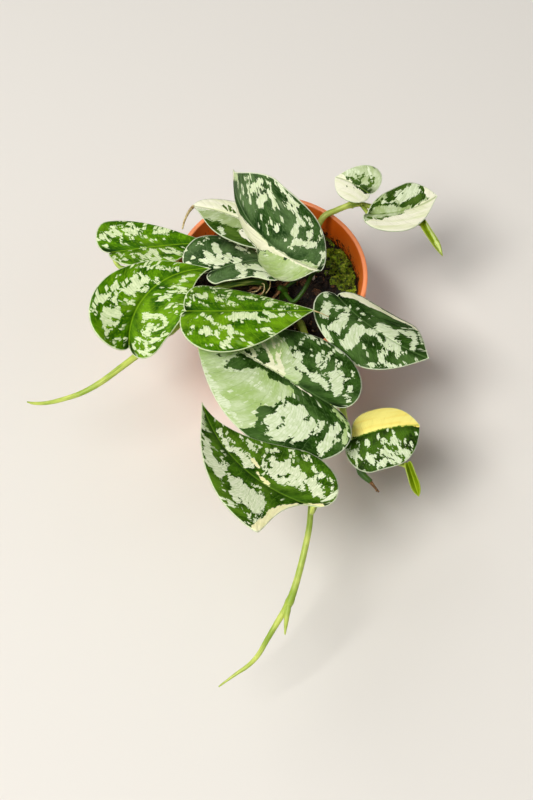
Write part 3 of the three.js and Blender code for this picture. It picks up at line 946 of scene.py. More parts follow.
FORMS: dict[str, BladeForm] = {
    "leaf_top": BladeForm(
        base=(29, -25, 130), length=89, heading=174, pitch=20, roll=-40, droop=16, sweep=-86, twist=-31,
        width=(29, 35), lobe=(-7, 2), widest=(0.62, 0.61), full=(0.17, 0.23),
        fold=((-1, -9), (7, 12)), curl=(-69, -14),
        nips=(Nip(0, (0.41, 0.435, 2, 3), 0.66), Nip(0, (0.45, 0.8, 2, 3), 0.45)),
    ),
    "leaf_back": BladeForm(
        base=(0, 16, 109), length=56, heading=145, pitch=7, roll=7, droop=24, sweep=14, twist=0,
        width=(20, 12), lobe=(7, 6), widest=(0.38, 0.38), full=(0.3, 0.8), blunt=(0.27, 0.07),
        fold=((9, 9), (4, 9)), curl=(-11, -18),
    ),
    "leaf_middle": BladeForm(
        base=(-36, -9.7, 107.4), length=60, heading=24, pitch=2, roll=-14, droop=36, sweep=-7, twist=-11,
        width=(29, 26), lobe=(14, 6), widest=(0.25, 0.5), full=(0.14, 0.16),
        fold=((18, -18), (11, 6)), curl=(-11, -13), nips=(Nip(1, (0.22, 0.34, 0.44, 0.5), 0.27),),
    ),
    "leaf_left": BladeForm(
        base=(-83, -62, 107), length=80, heading=96, pitch=10, roll=4, droop=17, sweep=-95, twist=-12,
        width=(27, 29), lobe=(5, 11), widest=(0.25, 0.5), full=(0.16, 0.32),
        fold=((39, -10), (9, 9)), curl=(-15, -6),
    ),
    "leaf_upper_left": BladeForm(
        base=(-99, 10, 99), length=64, heading=12, pitch=-1, roll=-11, droop=3, sweep=-6, twist=0,
        width=(24, 23), lobe=(7, 2), widest=(0.02, 0.37), full=(0.21, 0.16),
        fold=((15, 10), (23, 8)), curl=(-9, -10),
    ),
    "leaf_centre": BladeForm(
        base=(-49, -51.5, 128), length=75, heading=0, pitch=0, roll=-12, droop=10, sweep=7, twist=-5,
        width=(27, 31), lobe=(2, 4), widest=(0.19, 0.27), full=(0.4, 0.34),
        fold=((5, -9), (4, 2)), curl=(-28, -16),
    ),
    "leaf_big": BladeForm(
        base=(35, -106, 114), length=104, heading=149, pitch=7, roll=6, droop=24, sweep=-12, twist=5,
        width=(45, 38), lobe=(20, 11), widest=(0.22, 0.27), full=(0.32, 0.14),
        fold=((2, 10), (7, 3)), curl=(-14, -18),
    ),
    "leaf_front": BladeForm(
        base=(23.5, -174.4, 128), length=91.3, heading=165, pitch=2, roll=17, droop=1, sweep=-60, twist=14,
        width=(33.4, 33.4), lobe=(-13.2, 10.8), widest=(0.21, 0.25), full=(0.23, 0.17),
        fold=((5, 17), (13, 0)), curl=(-8, -9),
    ),
    "leaf_right": BladeForm(
        base=(40, -26, 105), length=68, heading=-53, pitch=-3, roll=-10, droop=-1, sweep=29, twist=1,
        width=(24.5, 28), lobe=(2, 8), widest=(0.65, 0.47), full=(0.4, 0.43),
        fold=((-6, 1), (7, -2)), curl=(-29, -17),
    ),
    "leaf_yellow": BladeForm(
        base=(45, -120, 99), length=41, heading=22, pitch=11, roll=5, droop=15, sweep=-20, twist=0,
        width=(17.8, 22), lobe=(-2, 6), widest=(0.5, 0.16), full=(0.6, 1.2), blunt=(0.25, 0.04),
        fold=((-13, -12), (-12, -12)), curl=(-25, -8),
    ),
    "leaf_small": BladeForm(
        base=(61, 44, 114), length=24, heading=145, pitch=15, roll=-6, droop=22, sweep=11, twist=-1,
        width=(14, 16), lobe=(2, 3), widest=(0.38, 0.24), full=(0.7, 0.26), blunt=(0.16, 0.22),
        fold=((17, 10), (20, 12)), curl=(-9, -8),
    ),
    "leaf_back_right": BladeForm(
        base=(59, 30, 112), length=47, heading=-3, pitch=-2, roll=-3, droop=-7, sweep=38, twist=4,
        width=(18, 17), lobe=(-1, 3), widest=(0.68, 0.37), full=(0.6, 0.24), blunt=(0.12, 0.3),
        fold=((8, 15), (17, 9)), curl=(-12, -10),
    ),
    "leaf_rolled": BladeForm(
        base=(94, 28, 107), length=25, heading=-57, pitch=-20, roll=0, droop=8, sweep=0, twist=0,
        width=(5, 6), lobe=(1, 1), widest=(0.3, 0.35), full=(0.3, 0.4),
        fold=((60, 40), (15, 30)), curl=(75, 40),
    ),
    "sheath": BladeForm(
        base=(78, -131, 91.5), length=20, heading=-72, pitch=-12, roll=15, droop=12, sweep=0, twist=0,
        width=(7, 7), lobe=(1, 1), widest=(0.35, 0.35), full=(0.5, 0.5),
        fold=((48, 35), (50, 35)), curl=(55, 50),
    ),
}

MARKS: dict[tuple[str, Mark], list[Stroke]] = {
    ("leaf_top", Mark.MINT): [
        (8, 5, 28, 18, 8), (22, 12, 33, 26, 7), (10, 5, 28, 7, 5), (27, 16, 33, 12, 4.5),
        (78, -8, 84, -5, 2),
    ],
    ("leaf_top", Mark.CREAM): [
        (2, 0.2, 26, 0.4, 0.9), (26, 1, 36, 3.4, 1.8), (38, 4, 56, 6, 4.2), (56, 8, 88, 4, 3.6),
        (39.5, 9, 38.5, 30, 1.1), (48, 10, 58, 10, 2), (82, -2, 89, 0, 2),
    ],
    ("leaf_top", Mark.SILVER): [
        (11, -12.5, 21, -10.8, 2.5), (25, -14, 27, -19, 2), (23, -22, 27, -22, 2), (15, -17, 17, -19, 1),
        (18, -23, 24, -26, 1.5), (2, -3, 3, -5, 1), (1, -9, 4, -10, 1.3), (35.5, -10.5, 36.5, -13, 1.8),
        (40, -7, 42, -12, 1.3), (44, -18, 46, -19, 1), (46, -22, 47, -24, 1), (33, -31, 40, -30, 1.2),
        (34, -27, 42, -27, 1.6), (53, -15, 54, -21, 2.8), (51, -25, 54, -26, 1.6), (63, -17, 62, -26, 2.6),
        (59, -10, 62, -13, 1.6), (66, -9, 70, -11, 1.6), (46, -32, 52, -33, 0.9), (71, -18, 69, -21, 1.4),
        (8, -17, 10, -22, 0.9), (47, -10, 48, -11, 0.7), (55, -30, 60, -30, 0.8), (52, -10, 53, -11, 0.8),
        (29, -24, 31, -25, 0.9), (20, -5, 22, -5, 0.7), (28, -8, 29, -9, 0.7), (58, -22, 58, -25, 0.9),
        (38, -23, 39, -24, 0.8), (72, -8, 75, -9, 0.8), (66, -16, 67, -19, 1),
    ],
    ("leaf_top", Mark.GREEN): [(54, 0.5, 72, 1.5, 2.2), (72, 1, 78, 0.5, 1.2)],
    ("leaf_back", Mark.MINT): [(22, 4, 50, 3, 6.4), (8, 11, 16, 10.5, 1.7)],
    ("leaf_back", Mark.CREAM): [
        (20, -4, 52, -4, 5), (26, -10, 50, -8, 6), (40, -2, 56, 0, 3), (14, 10, 2, 12, 2.6),
    ],
    ("leaf_back", Mark.SILVER): [(24.5, 17, 28, 14, 1.7), (46, 3, 52, 3, 1.6)],
    ("leaf_back", Mark.GREEN): [
        (26.5, -2.6, 30, -4, 0.8), (31, -2.6, 36.5, -4.4, 0.8), (30, -5, 33.5, -6, 0.6),
        (15, 9, 17, 12, 0.9),
    ],
    ("leaf_middle", Mark.SILVER): [
        (9, 8, 10, 19, 2.5), (2, 12, 4, 6, 2.9), (0, 8, 3, 8, 2.8), (12, 4, 14, 8, 2.4), (5, 3, 8, 4, 2.6),
        (-1, 22, 3, 21, 1.1), (7, 25, 7, 26, 1.2), (18, 2, 20, 3, 1.5), (24, 15, 28, 12, 2.3),
        (26, 18, 26, 19, 1.5), (-6, 13, -6, 14, 0.9), (-9, 12, -9, 13, 0.9), (2, 16, 2, 17, 1.3),
        (18, -2, 17, -12, 2.3), (14, -15, 15, -15, 1.7), (21, -9, 24, -10, 2.1), (20, -5, 21, -5, 1.5),
        (27, -18, 25, -23, 2.8), (24, -16, 23, -19, 2.2), (3, -15, 10, -16, 0.6), (29, -12, 30, -12, 1.1),
        (36, 8, 46, 2, 2.4), (34, -8, 44, -9, 2.6), (50, 2, 54, 0, 1.2), (24, -9, 27, -14, 2.6),
        (28, -16, 28, -21, 2.4), (17, 2, 16, -9, 2.1), (0, 5, 10, 5, 1.6), (-4, 9, 2, 10, 1.2),
    ],
    ("leaf_left", Mark.SILVER): [
        (13, 16, 17, 10, 3.2), (15, 17, 13, 14, 2.6), (3, 15, 8, 16, 1.6), (9, 12, 12, 8, 1.7),
        (2, 7, 4, 3, 1.3), (-1, 10, 0, 11, 0.9), (20, 21, 24, 18, 2.1), (19, 25, 19, 24, 1),
        (13, 22, 15, 24, 1.1), (23, 14, 25, 14, 2.1), (30, 18, 29, 17, 2.2), (29, 13, 31, 6, 1.9),
        (33, 8, 42, 7, 3), (36, 3, 39, 3, 1.5), (38, 12, 40, 11, 1.4), (42, 13, 42, 14, 1.3),
        (25, 3, 26, 6, 1.2), (45, 16, 46, 16, 1), (48, 12, 54, 8, 1.3), (54, 6, 58, 5, 1.2),
        (60, 3, 63, 6, 1.3), (46, 1.5, 47, 3, 1.3), (66, 8, 67, 8, 0.9), (34, 21, 35, 21, 0.9),
        (-2, -3, 3, -4, 1.3), (-5, -9, 2, -10, 1.9), (2, -14, 3, -18, 1.7), (8, -10, 14, -12, 2.8),
        (12, -15, 13, -15, 1.8), (16, -7.5, 18, -7.5, 1.1), (22, -8, 23, -13, 2.2), (25, -16, 25, -17, 1.5),
        (15, -21, 22, -20, 1.7), (7, -22, 9, -22, 1.3), (23, -18, 24, -18, 1.5), (38, -10, 44, -12, 2.1),
        (46, -11, 52, -13, 1.7), (54, -12, 57, -15, 2.2), (58, -8, 62, -8, 1.3), (62, -5, 68, -6, 1.3),
        (39, -21, 41, -21, 1.6), (33, -23, 35, -23, 1.5), (52, -8, 53, -8, 0.9), (40, -15, 41, -15, 1.1),
        (29, -20, 30, -20, 0.8), (-4, -6, 4, -6, 1.2), (4, -12, 6, -10, 1.2), (48, -9, 56, -9, 1.2),
        (3, -20, 6, -20, 0.9), (-6, -12, -3, -14, 1),
    ],
    ("leaf_upper_left", Mark.SILVER): [
        (-4, 12, 0, 13, 1.8), (-1, 16, 0, 16, 1.1), (-2, 6, -1, 6, 1.1), (4, 13, 8, 14, 2.2),
        (8, 8, 9, 11, 1.1), (12, 15, 16, 14, 2.3), (15, 19, 16, 19, 1.7), (15, 8, 16, 11, 1.1),
        (20, 14, 23, 16, 1.5), (28, 11, 38, 11, 1.2), (36, 8, 37, 8, 1.5), (26, 6, 29, 5, 0.9),
        (21, 9, 23, 9, 0.9), (44, 8, 45, 8, 0.8), (34, 5, 35, 5, 0.9), (25, 19, 26, 19, 0.7),
        (1, 10, 2, 10, 0.9), (5, -4, 6, -8, 1.8), (8, -12, 8, -13, 1.8), (4, -14, 4, -15, 1.1),
        (20, -1, 22, -3, 1.7), (17, -8, 19, -14, 1.9), (22, -10, 23, -15, 1.5), (26, -5, 28, -12, 1.9),
        (29, -15, 30, -15, 1.1), (33, -6, 36, -8, 1.3), (38, -8, 43, -11, 2), (34, -13, 37, -16, 1.3),
        (18, -20, 19, -20, 0.9), (12, -2, 13, -2, 0.6), (24, -3, 27, -9, 1.4), (31, -4, 34, -9, 1.4),
        (36, -3, 40, -6, 1), (2, -8, 3, -10, 1), (12, -7, 14, -12, 1.2), (27, -15, 28, -18, 1.2),
        (-3, 14, 6, 17, 1.3), (10, 12, 17, 12, 1.4), (18, 16, 22, 12, 1.4), (32, 9, 36, 12, 1.3),
        (2, 19, 10, 20, 0.8),
    ],
    ("leaf_centre", Mark.SILVER): [
        (6, 13, 10, 12, 2.6), (12, 15, 12, 16, 1.3), (16, 18, 17, 21, 1), (18, 12, 20, 9, 1.7),
        (24, 13, 25, 13, 1.9), (21, 15, 22, 15, 1.1), (26, 8, 29, 6, 1.5), (22, 4, 24, 5, 0.9),
        (38, 14, 39, 14, 1.7), (41, 12.5, 42, 12.5, 1.1), (48, 6, 49, 8, 2.6), (52, 9, 53, 9, 1.5),
        (56, 5, 60, 6, 0.8), (52, 1, 58, 1.4, 0.7), (62, 3, 65, 2, 0.8), (27, 22, 27, 23, 1.1),
        (1, 4, 3, 8, 0.9), (3, 17, 3, 18, 0.7), (8, 6, 8, 9, 0.6), (30, 14, 31, 14, 1),
        (32, 11, 33, 11, 0.8), (63, 6, 66, 5, 0.7), (7, 22, 8, 25, 0.8), (22, 26, 23, 26, 0.7),
        (30, -4, 38, -4, 3.7), (26, -6, 28, -8, 1.9), (41, -7, 46, -9, 1.7), (46, -2, 50, -5, 2.2),
        (54, -4, 55, -4, 1.3), (60, -2, 62, -3, 0.8), (14, -6, 15, -10, 1.5), (12, -14, 14, -18, 2.2),
        (9, -16, 9, -17, 1), (17, -17, 18, -22, 1.1), (16, -11, 17, -11, 1.1), (20, -13, 21, -13, 1.3),
        (25, -12, 24, -18, 1.7), (24, -22, 22, -25, 2), (31, -17, 31, -18, 1.3),
        (44, -15.5, 45, -15.5, 1.5), (13, -26, 14, -26, 1.1), (3, -18, 3, -17, 1.1), (2, -9, 6, -5, 0.9),
        (10, -3, 11, -5, 0.9), (4, -12, 4, -13, 0.7), (21, -3, 22, -3, 0.8), (39, -16, 39, -17, 0.7),
        (29, -28, 30, -28, 0.8),
    ],
    ("leaf_centre", Mark.GREEN): [(43, -4, 46, -5, 1.3), (22, 12.5, 22, 12, 0.7)],
    ("leaf_big", Mark.MINT): [
        (34, 14, 46, 14, 9.5), (43, 26, 60, 26, 11), (36, 37, 52, 35, 8), (60, 22, 80, 15, 6.5),
        (66, 6, 84, 6, 6), (28, 7.5, 38, 9, 5), (28, -3, 34, -5, 4.8), (38, -9, 50, -16, 6.5),
        (50, -14, 60, -19, 5), (58, -8, 84, -5, 6), (50, -18, 62, -20, 4), (-16, 17, -12, 6, 1.7),
        (-12, 6, -2, 1.5, 1.6), (36, 6, 46, 6, 3),
    ],
    ("leaf_big", Mark.CREAM): [
        (13, 1.7, 32, 0.8, 0.3), (34, 0, 66, 0, 1), (35, -1.5, 39, -5, 1.9), (40, -2, 46, -2, 1.3),
        (39, -5, 46, -11, 1.2), (46, -11, 55, -18, 0.8), (43, -3, 49, -8, 1.1), (49, -8, 58, -12.5, 1),
        (44, -12, 50, -18, 0.6), (55, -2, 60, -5, 1.1), (48, -20, 57, -22, 0.6),
    ],
    ("leaf_big", Mark.SILVER): [
        (5, 17, 6, 28, 4.3), (13, 17, 16, 32, 6.2), (20, 20, 22, 31, 4.2), (17, 35, 20, 36, 2.6),
        (12, 14, 20, 15, 2.7), (-8.5, 11, -8, 29, 2.9), (-12, 18, -11, 26, 1.1), (-1, 12, -0.8, 21, 1.1),
        (-9, 31, -6, 33, 1.2), (-4.5, -8.5, -2.5, -9, 1.9), (-3.5, -14.5, -2.5, -16, 1.4),
        (3, -10, 9, -17, 3.8), (4, -20, 9, -21.5, 1.7), (0, -23, 2, -26, 1), (9, -9, 20, -10.5, 2.2),
        (16, -10.5, 34, -11.5, 2.3), (30, -12, 35, -18, 2.7), (15, -15, 19, -21, 1.5),
        (18.5, -20, 20.3, -31, 1.8), (11.5, -20, 12, -26, 0.9), (21, -19, 25, -24, 1.2),
        (27, -22, 28, -22, 0.7), (30, -25.5, 32, -27, 1), (40, -26, 40.5, -32, 1),
        (13, -36, 44, -34.8, 0.7), (34, 41, 54, 34, 2), (54, 34, 74, 22, 1.6), (64, 4, 65, 14, 2.2),
        (54, 12, 62, 17, 1.4), (46, 8, 50, 9, 1),
    ],
    ("leaf_big", Mark.GREEN): [
        (52, 4, 60, 9, 3.2), (50, 2.5, 62, 3, 1.7), (61, 12, 62, 16, 1.3), (56, 11, 60, 12, 2),
        (-3.2, 4, -2.8, 27, 0.9), (1, 24, 1.5, 33, 0.7), (15.7, 27, 17.3, 30.5, 1.1),
        (18.5, 24, 19.5, 24, 0.9), (7.3, 13, 8, 17.5, 0.8), (5, 12, 5, 12.5, 0.5),
        (13, -13.5, 16.5, -18, 1.3), (22, -13.2, 29, -15.5, 1.5), (24, -16, 30, -18.5, 1),
        (29, 3.4, 41, 4.4, 1.3), (47, -3.4, 54, -5, 1.1), (50, -6, 58, -9, 0.9), (54, -4.4, 59, -6.4, 0.8),
        (25, 1.6, 44, 1.5, 0.7), (-12, 9, -10, 8, 0.7),
    ],
    ("leaf_front", Mark.CREAM): [
        (-3, -0.6, 3, 1.4, 1.7), (3, 1.6, 8, 4.4, 2.6), (8, 5, 13, 10, 3.4), (13, 10, 16.5, 18, 3.6),
        (17.2, 18, 19.4, 32, 2.3), (28, -1, 33, -2, 1.1), (33, -2, 37.5, -3.2, 0.8),
        (39, -6.8, 46, -8.3, 1),
    ],
    ("leaf_front", Mark.MINT): [(74, 6, 86, 3, 1.8)],
    ("leaf_front", Mark.SILVER): [
        (26, 15, 30, 13, 4.4), (32, 17, 39, 14, 4.8), (25, 21, 28, 21, 2.9), (33, 23, 36, 21, 3.2),
        (22, 27, 23, 18, 1.5), (24, 28, 26, 27, 1.8), (33, 28, 42, 23, 1.3), (38, 11, 40, 10, 2),
        (36, 30, 42, 27, 0.7), (48, 17, 58, 16, 3.8), (58, 15, 66, 10, 2.6), (49, 15, 51, 8, 1.4),
        (31, 5, 34, 7, 1.5), (44, 14, 46, 12, 1.1), (70, 10, 84, 3.5, 1.2), (41, 17, 43, 20, 1.2),
        (54, 9, 56, 7, 1), (26, 10, 28, 9, 1), (-7, -9, -4, -6, 1.4), (-2, -6, 2, -12, 2.5),
        (2, -9, 8, -14, 3.4), (11, -9, 20, -11, 2.5), (14, -14, 20, -18, 3.2), (24, -8, 32, -9, 3.2),
        (26, -15, 32, -15, 4.8), (28, -19, 29, -21, 1.8), (2, -20, 9, -23, 2.1), (-5, -17, -3, -19, 1.2),
        (36, -8, 39, -12, 1.3), (37, -14, 38, -19, 1.2), (44, -4, 56, -6, 2.5), (44, -8, 52, -8.5, 1.4),
        (58, -2, 72, -3, 1.7), (60, -7, 67, -6, 1.2), (40, -11, 43, -13, 1.4), (50, -14, 56, -15, 1.5),
        (53, -12, 62, -13, 0.8), (40, -24, 46, -21, 1.7), (17, -28, 22, -29, 1.7), (26, -28, 28, -28, 0.9),
        (32, -30, 34, -29, 1.2), (50, -19, 64, -13, 0.9), (-8, -12, -6, -13, 1),
    ],
    ("leaf_front", Mark.GREEN): [
        (8, 1.2, 66, 1.4, 1.3), (33, 20.5, 34, 20.5, 0.8), (26, -9, 27, -9, 0.9), (2, -13, 2, -14, 0.8),
        (10, -6, 12, -8, 0.8), (54, -7, 55, -7, 0.7), (43, 20, 45, 15, 0.9), (23, 24, 24, 33, 1),
        (20.5, 17, 21.5, 24, 0.7), (27, 24, 31, 26, 1), (28, 29, 34, 31, 0.8),
    ],
    ("leaf_right", Mark.CREAM): [
        (0, 4, 6, 11, 2.6), (6, 11, 20, 18, 2.9), (20, 18, 40, 22, 1.8), (40, 22.5, 54, 21, 1.3),
        (54, 21, 62, 11, 0.8),
    ],
    ("leaf_right", Mark.SILVER): [
        (9.5, 0.5, 14, -6, 1.7), (14, -8, 17, -18, 3.3), (25, -7, 27, -20, 3.6), (23, -22, 27, -23, 1.8),
        (31, -4, 33, 3, 2.9), (34, 4, 42, 6, 3.7), (40, 2, 48, -3, 3.3), (37, -4, 46, -6, 1.8),
        (48, 1, 52, -8, 1.6), (2, -9, 6, -16, 2.9), (-5, -5, -4, -6, 1.3), (7, -5, 8, -8, 1.1),
        (44, -11, 46, -18, 2.4), (43, 11, 50, 10, 1.9), (51, 14, 56, 8, 2.3), (55, 7, 57, 2, 1.7),
        (44, 15, 46, 17, 0.9), (54, 18, 60, 9, 0.9), (20, -1, 22, -3, 1), (12, -23, 19, -25, 1.9),
        (56, -9, 58, -10, 0.8), (62, -4, 64, -6, 0.7), (33, -14, 34, -15, 0.6), (18, 3, 19, 4, 0.5),
        (24, 7, 25, 8, 0.5), (40, -24, 56, -13, 0.7), (53, -4, 54, -3, 1),
    ],
    ("leaf_yellow", Mark.CREAM): [
        (6, 7, 37, 6.4, 6.6), (10, 11, 32, 12, 8), (3, 3.4, 8, 5, 2.7), (0.8, 1.3, 5, 4, 1.2),
        (32, 4, 40.5, 1.6, 3),
    ],
    ("leaf_yellow", Mark.SILVER): [
        (-3, -5.5, -2.6, -8, 1.2), (4, -4, 0, -9.5, 1.6), (7, -3.4, 9.4, -6.6, 1.2),
        (6.8, -11.4, 7.4, -16, 2.1), (9, -13.2, 11, -13.6, 0.8), (1.2, -12, 1.6, -12.4, 0.8),
        (3.4, -16.2, 3.6, -16.6, 0.7), (-3, -15.6, -2, -14, 1.2), (16.4, -3.6, 20.6, -9.2, 1.3),
        (14.4, -11.6, 24, -17.8, 2.1), (17.4, -10.4, 26, -18, 1.9), (19, -16, 27, -20, 1.5),
        (10, -20, 15, -18, 1.1), (15, -18.4, 25, -20.4, 1.4), (22.6, -1, 25.2, -3, 0.8),
        (25, -7, 28, -13, 1.6), (28, -13, 31.6, -20, 1.7), (31, -8, 32.2, -14, 1.5),
        (32.2, -14, 32.6, -19.4, 1.5), (35, -10, 35.4, -16, 0.9), (38.6, -5.4, 38.8, -6, 0.6),
    ],
    ("leaf_yellow", Mark.GREEN): [
        (19.6, -9.6, 30.6, -21, 0.8), (10.6, -8, 14.6, -14, 1), (29.4, -7, 30, -12, 0.9),
        (2, -12, 4, -19, 0.8),
    ],
    ("leaf_small", Mark.MINT): [
        (3, -9, 13, -7, 7.8), (1, -4, 8, -5, 3), (12, -5, 22, -2, 4.4), (10, -3.4, 16, -3, 3),
        (14, 4, 16, 3.5, 2),
    ],
    ("leaf_small", Mark.CREAM): [(4, 7, 14, 6, 8), (14, 4, 24, 1, 5), (20, -1.5, 24, -2, 2)],
    ("leaf_small", Mark.SILVER): [
        (13, -9, 17, -6, 1.6), (5, -7, 6, -11, 1), (7, -11, 9, -13, 0.8), (15, -4, 19, -3, 0.9),
    ],
    ("leaf_small", Mark.GREEN): [
        (2, 0.2, 9, 0.8, 1.7), (4, -1.2, 11, -1.6, 1.6), (8, -3, 10, -4, 0.8), (11, -1.2, 14.6, -2.8, 1),
        (1.6, -3, 2.6, -5.4, 0.7), (2, -7, 2.8, -9, 0.6), (9, -6, 9.2, -9, 0.7), (9, -11, 9, -12, 0.5),
        (5, -6.6, 5.4, -9, 0.5), (14, 4, 15, 3.8, 0.7), (16, -1, 17, -2, 0.6), (13, -6, 13.6, -7, 0.5),
    ],
    ("leaf_back_right", Mark.MINT): [
        (3, 2.5, 26, 3, 2.9), (0, -2, 12, -2.5, 2.6), (12, 5, 24, 7, 2.4), (8, 10, 14, 7, 1.2),
        (36, 1, 44, 4, 2), (12, -1.4, 23, -0.8, 2.2), (0, -4, 2, -7, 2.4), (6, 8.6, 15, 13.6, 1.5),
    ],
    ("leaf_back_right", Mark.CREAM): [
        (5, -11, 22, -12, 5.8), (12, -9, 38, -6.5, 5.4), (26, -3, 47, -1, 3.4), (43, 4, 45, 8, 2.8),
    ],
    ("leaf_back_right", Mark.SILVER): [
        (25, 9, 33, 12, 4.2), (36, 12, 38, 9, 3), (24, 15, 26, 16, 1.2), (11, 8, 17, 7.5, 1.2),
        (20, 14, 21, 15, 0.6), (30, 7, 34, 8, 2), (38, 14, 42, 11, 1.4),
    ],
    ("leaf_back_right", Mark.GREEN): [
        (0, -4.3, 8, -5.4, 0.7), (24, 3.6, 32, 3.4, 1.2), (31, 4, 39, 5, 2.1), (16, 12, 21, 14, 1.8),
        (25, 15, 31, 16.5, 1), (3, 5, 9, 8.6, 0.8), (37, 7, 40, 8, 1), (1, 2, 4, 5, 0.8),
        (12, 6, 20, 6.4, 0.8), (10, -4, 14, -3.6, 0.7), (14, 9, 20, 11, 1), (20, 4.6, 26, 4.4, 0.9),
        (28, 15, 34, 16, 0.9), (26, 11, 29, 12, 0.6),
    ],
    ("leaf_rolled", Mark.CREAM): [(3, 2.5, 24, 0.6, 1.3), (16, -1, 23, -0.6, 1)],
    ("leaf_rolled", Mark.GREEN): [(0, -2, 10, -3, 1.2)],
}

KINDS: dict[str, LeafKind] = {
    "leaf_top": LeafKind.HAZY,
    "leaf_back": LeafKind.PALE,
    "leaf_middle": LeafKind.HAZY,
    "leaf_big": LeafKind.DEEP,
    "leaf_right": LeafKind.DEEP,
    "leaf_front": LeafKind.MEADOW,
    "leaf_yellow": LeafKind.YELLOW,
    "leaf_back_right": LeafKind.PALE,
    "leaf_small": LeafKind.PALE,
    "leaf_rolled": LeafKind.FRESH,
    "sheath": LeafKind.FRESH,
}


# ---- Vines ----


@dataclass(frozen=True)
class Tube:
    """A round stalk through knots of x, y, z and radius in millimetres.

    Attributes:
        knots: The knots, at least two.
        sides: Faces around it.
        steps: Faces between two knots.
        groove: Depth of the channel along its upper side, as a share of the radius.
        rings: Knot numbers that carry a raised leaf scar.
    """

    knots: list[Knot]
    sides: int = 20
    steps: int = 7
    groove: float = 0.0
    rings: tuple[float, ...] = ()

    # Each end's rounding, as shares of the radius and shifts in radii. A ring's swelling and scar, as
    # shares of the radius, and their widths and shift in knots. The channel's half width in radians,
    # the radius in millimetres that the map "run" is laid out for, and how many knots ahead and back
    # the stalk's direction is taken.
    CAP = ((0.0, -0.35), (0.55, -0.28), (0.88, -0.14))
    SWELL, SWELL_WIDTH = 0.16, 0.16
    SCAR, SCAR_WIDTH, SCAR_SHIFT = 0.1, 0.03, 0.1
    GROOVE_WIDTH = 0.5
    RUN_RADIUS = 2
    LOOK = 0.02

    def centre(self, t: float) -> Vector:
        """Follows a smooth course through the knots.

        Args:
            t: The place, counted in knots.

        Returns:
            The stalk's centre there, in millimetres.
        """
        i = min(int(t), len(self.knots) - 2)
        s = t - i
        inner = [Vector(knot[:3]) for knot in self.knots]
        course = [inner[0] * 2 - inner[1], *inner, inner[-1] * 2 - inner[-2]]
        a, b, c, d = course[i : i + 4]
        gap, span, rest = (b - a).length ** 0.5, (c - b).length ** 0.5, (d - c).length ** 0.5
        leave = ((b - a) / gap - (c - a) / (gap + span) + (c - b) / span) * span
        arrive = ((c - b) / span - (d - b) / (span + rest) + (d - c) / rest) * span
        square, cube = (c - b) * 3 - leave * 2 - arrive, (b - c) * 2 + leave + arrive
        return b + leave * s + square * s**2 + cube * s**3

    def radius(self, t: float) -> float:
        """Works out the radius, with the swelling of each ring.

        Args:
            t: The place, counted in knots.

        Returns:
            The radius in millimetres.
        """
        i = min(int(t), len(self.knots) - 2)
        plain = mix(self.knots[i][3], self.knots[i + 1][3], t - i)
        swell = scar = 0.0
        for ring in self.rings:
            swell += self.SWELL * math.exp(-(((t - ring) / self.SWELL_WIDTH) ** 2))
            scar += self.SCAR * math.exp(-(((t - ring - self.SCAR_SHIFT) / self.SCAR_WIDTH) ** 2))
        return plain * (1 + swell + scar)

    def stations(self) -> list[tuple[float, float, float]]:
        """Lists the rings of vertices from end to end.

        Returns:
            For each, (t, share of the radius, shift along the stalk in radii).
        """
        last = len(self.knots) - 1
        inner = [(last * i / (last * self.steps), 1.0, 0.0) for i in range(last * self.steps + 1)]
        start = [(0.0, share, shift) for share, shift in self.CAP]
        end = [(float(last), share, -shift) for share, shift in reversed(self.CAP)]
        return start + inner + end

    def shape(self) -> BMesh:
        """Builds the stalk with a UV map of angle and length, closed at both ends.

        Returns:
            The stalk in metres, whose map "run" holds the way round and the way along in millimetres.
        """
        rows = []
        across = Vector((1, 0, 0))
        length = 0.0
        before = self.centre(0)
        for t, share, shift in self.stations():
            centre = self.centre(t)
            before_t, after_t = max(t - self.LOOK, 0), min(t + self.LOOK, len(self.knots) - 1)
            tangent = (self.centre(after_t) - self.centre(before_t)).normalized()
            across = (across - tangent * across.dot(tangent)).normalized()
            length += (centre - before).length
            before = centre
            radius = self.radius(t)
            middle = centre + tangent * shift * radius
            rows.append((middle, across.copy(), tangent.cross(across), radius * share, length))

        def place(around: float, along: float) -> Vector:
            """Finds a place on the stalk's skin.

            Args:
                around: From 0 to 1 round it.
                along: From 0 to 1 along it.

            Returns:
                The place in metres.
            """
            centre, spoke, other, radius, _ = rows[round(along * (len(rows) - 1))]
            angle = 2 * math.pi * around
            direction = spoke * math.cos(angle) + other * math.sin(angle)
            channel = self.groove * math.exp(-((direction.angle(Vector((0, 0, 1))) / self.GROOVE_WIDTH) ** 2))
            return (centre + direction * radius * (1 - channel)) * MM

        def run(around: float, along: float) -> Pair:
            """Returns the way round and the way along, in millimetres."""
            _, _, _, _, way = rows[round(along * (len(rows) - 1))]
            return around * 2 * math.pi * self.RUN_RADIUS, way

        bm = bent_grid(self.sides, len(rows) - 1, place, {"run": run})
        bmesh.ops.recalc_face_normals(bm, faces=bm.faces)
        return bm


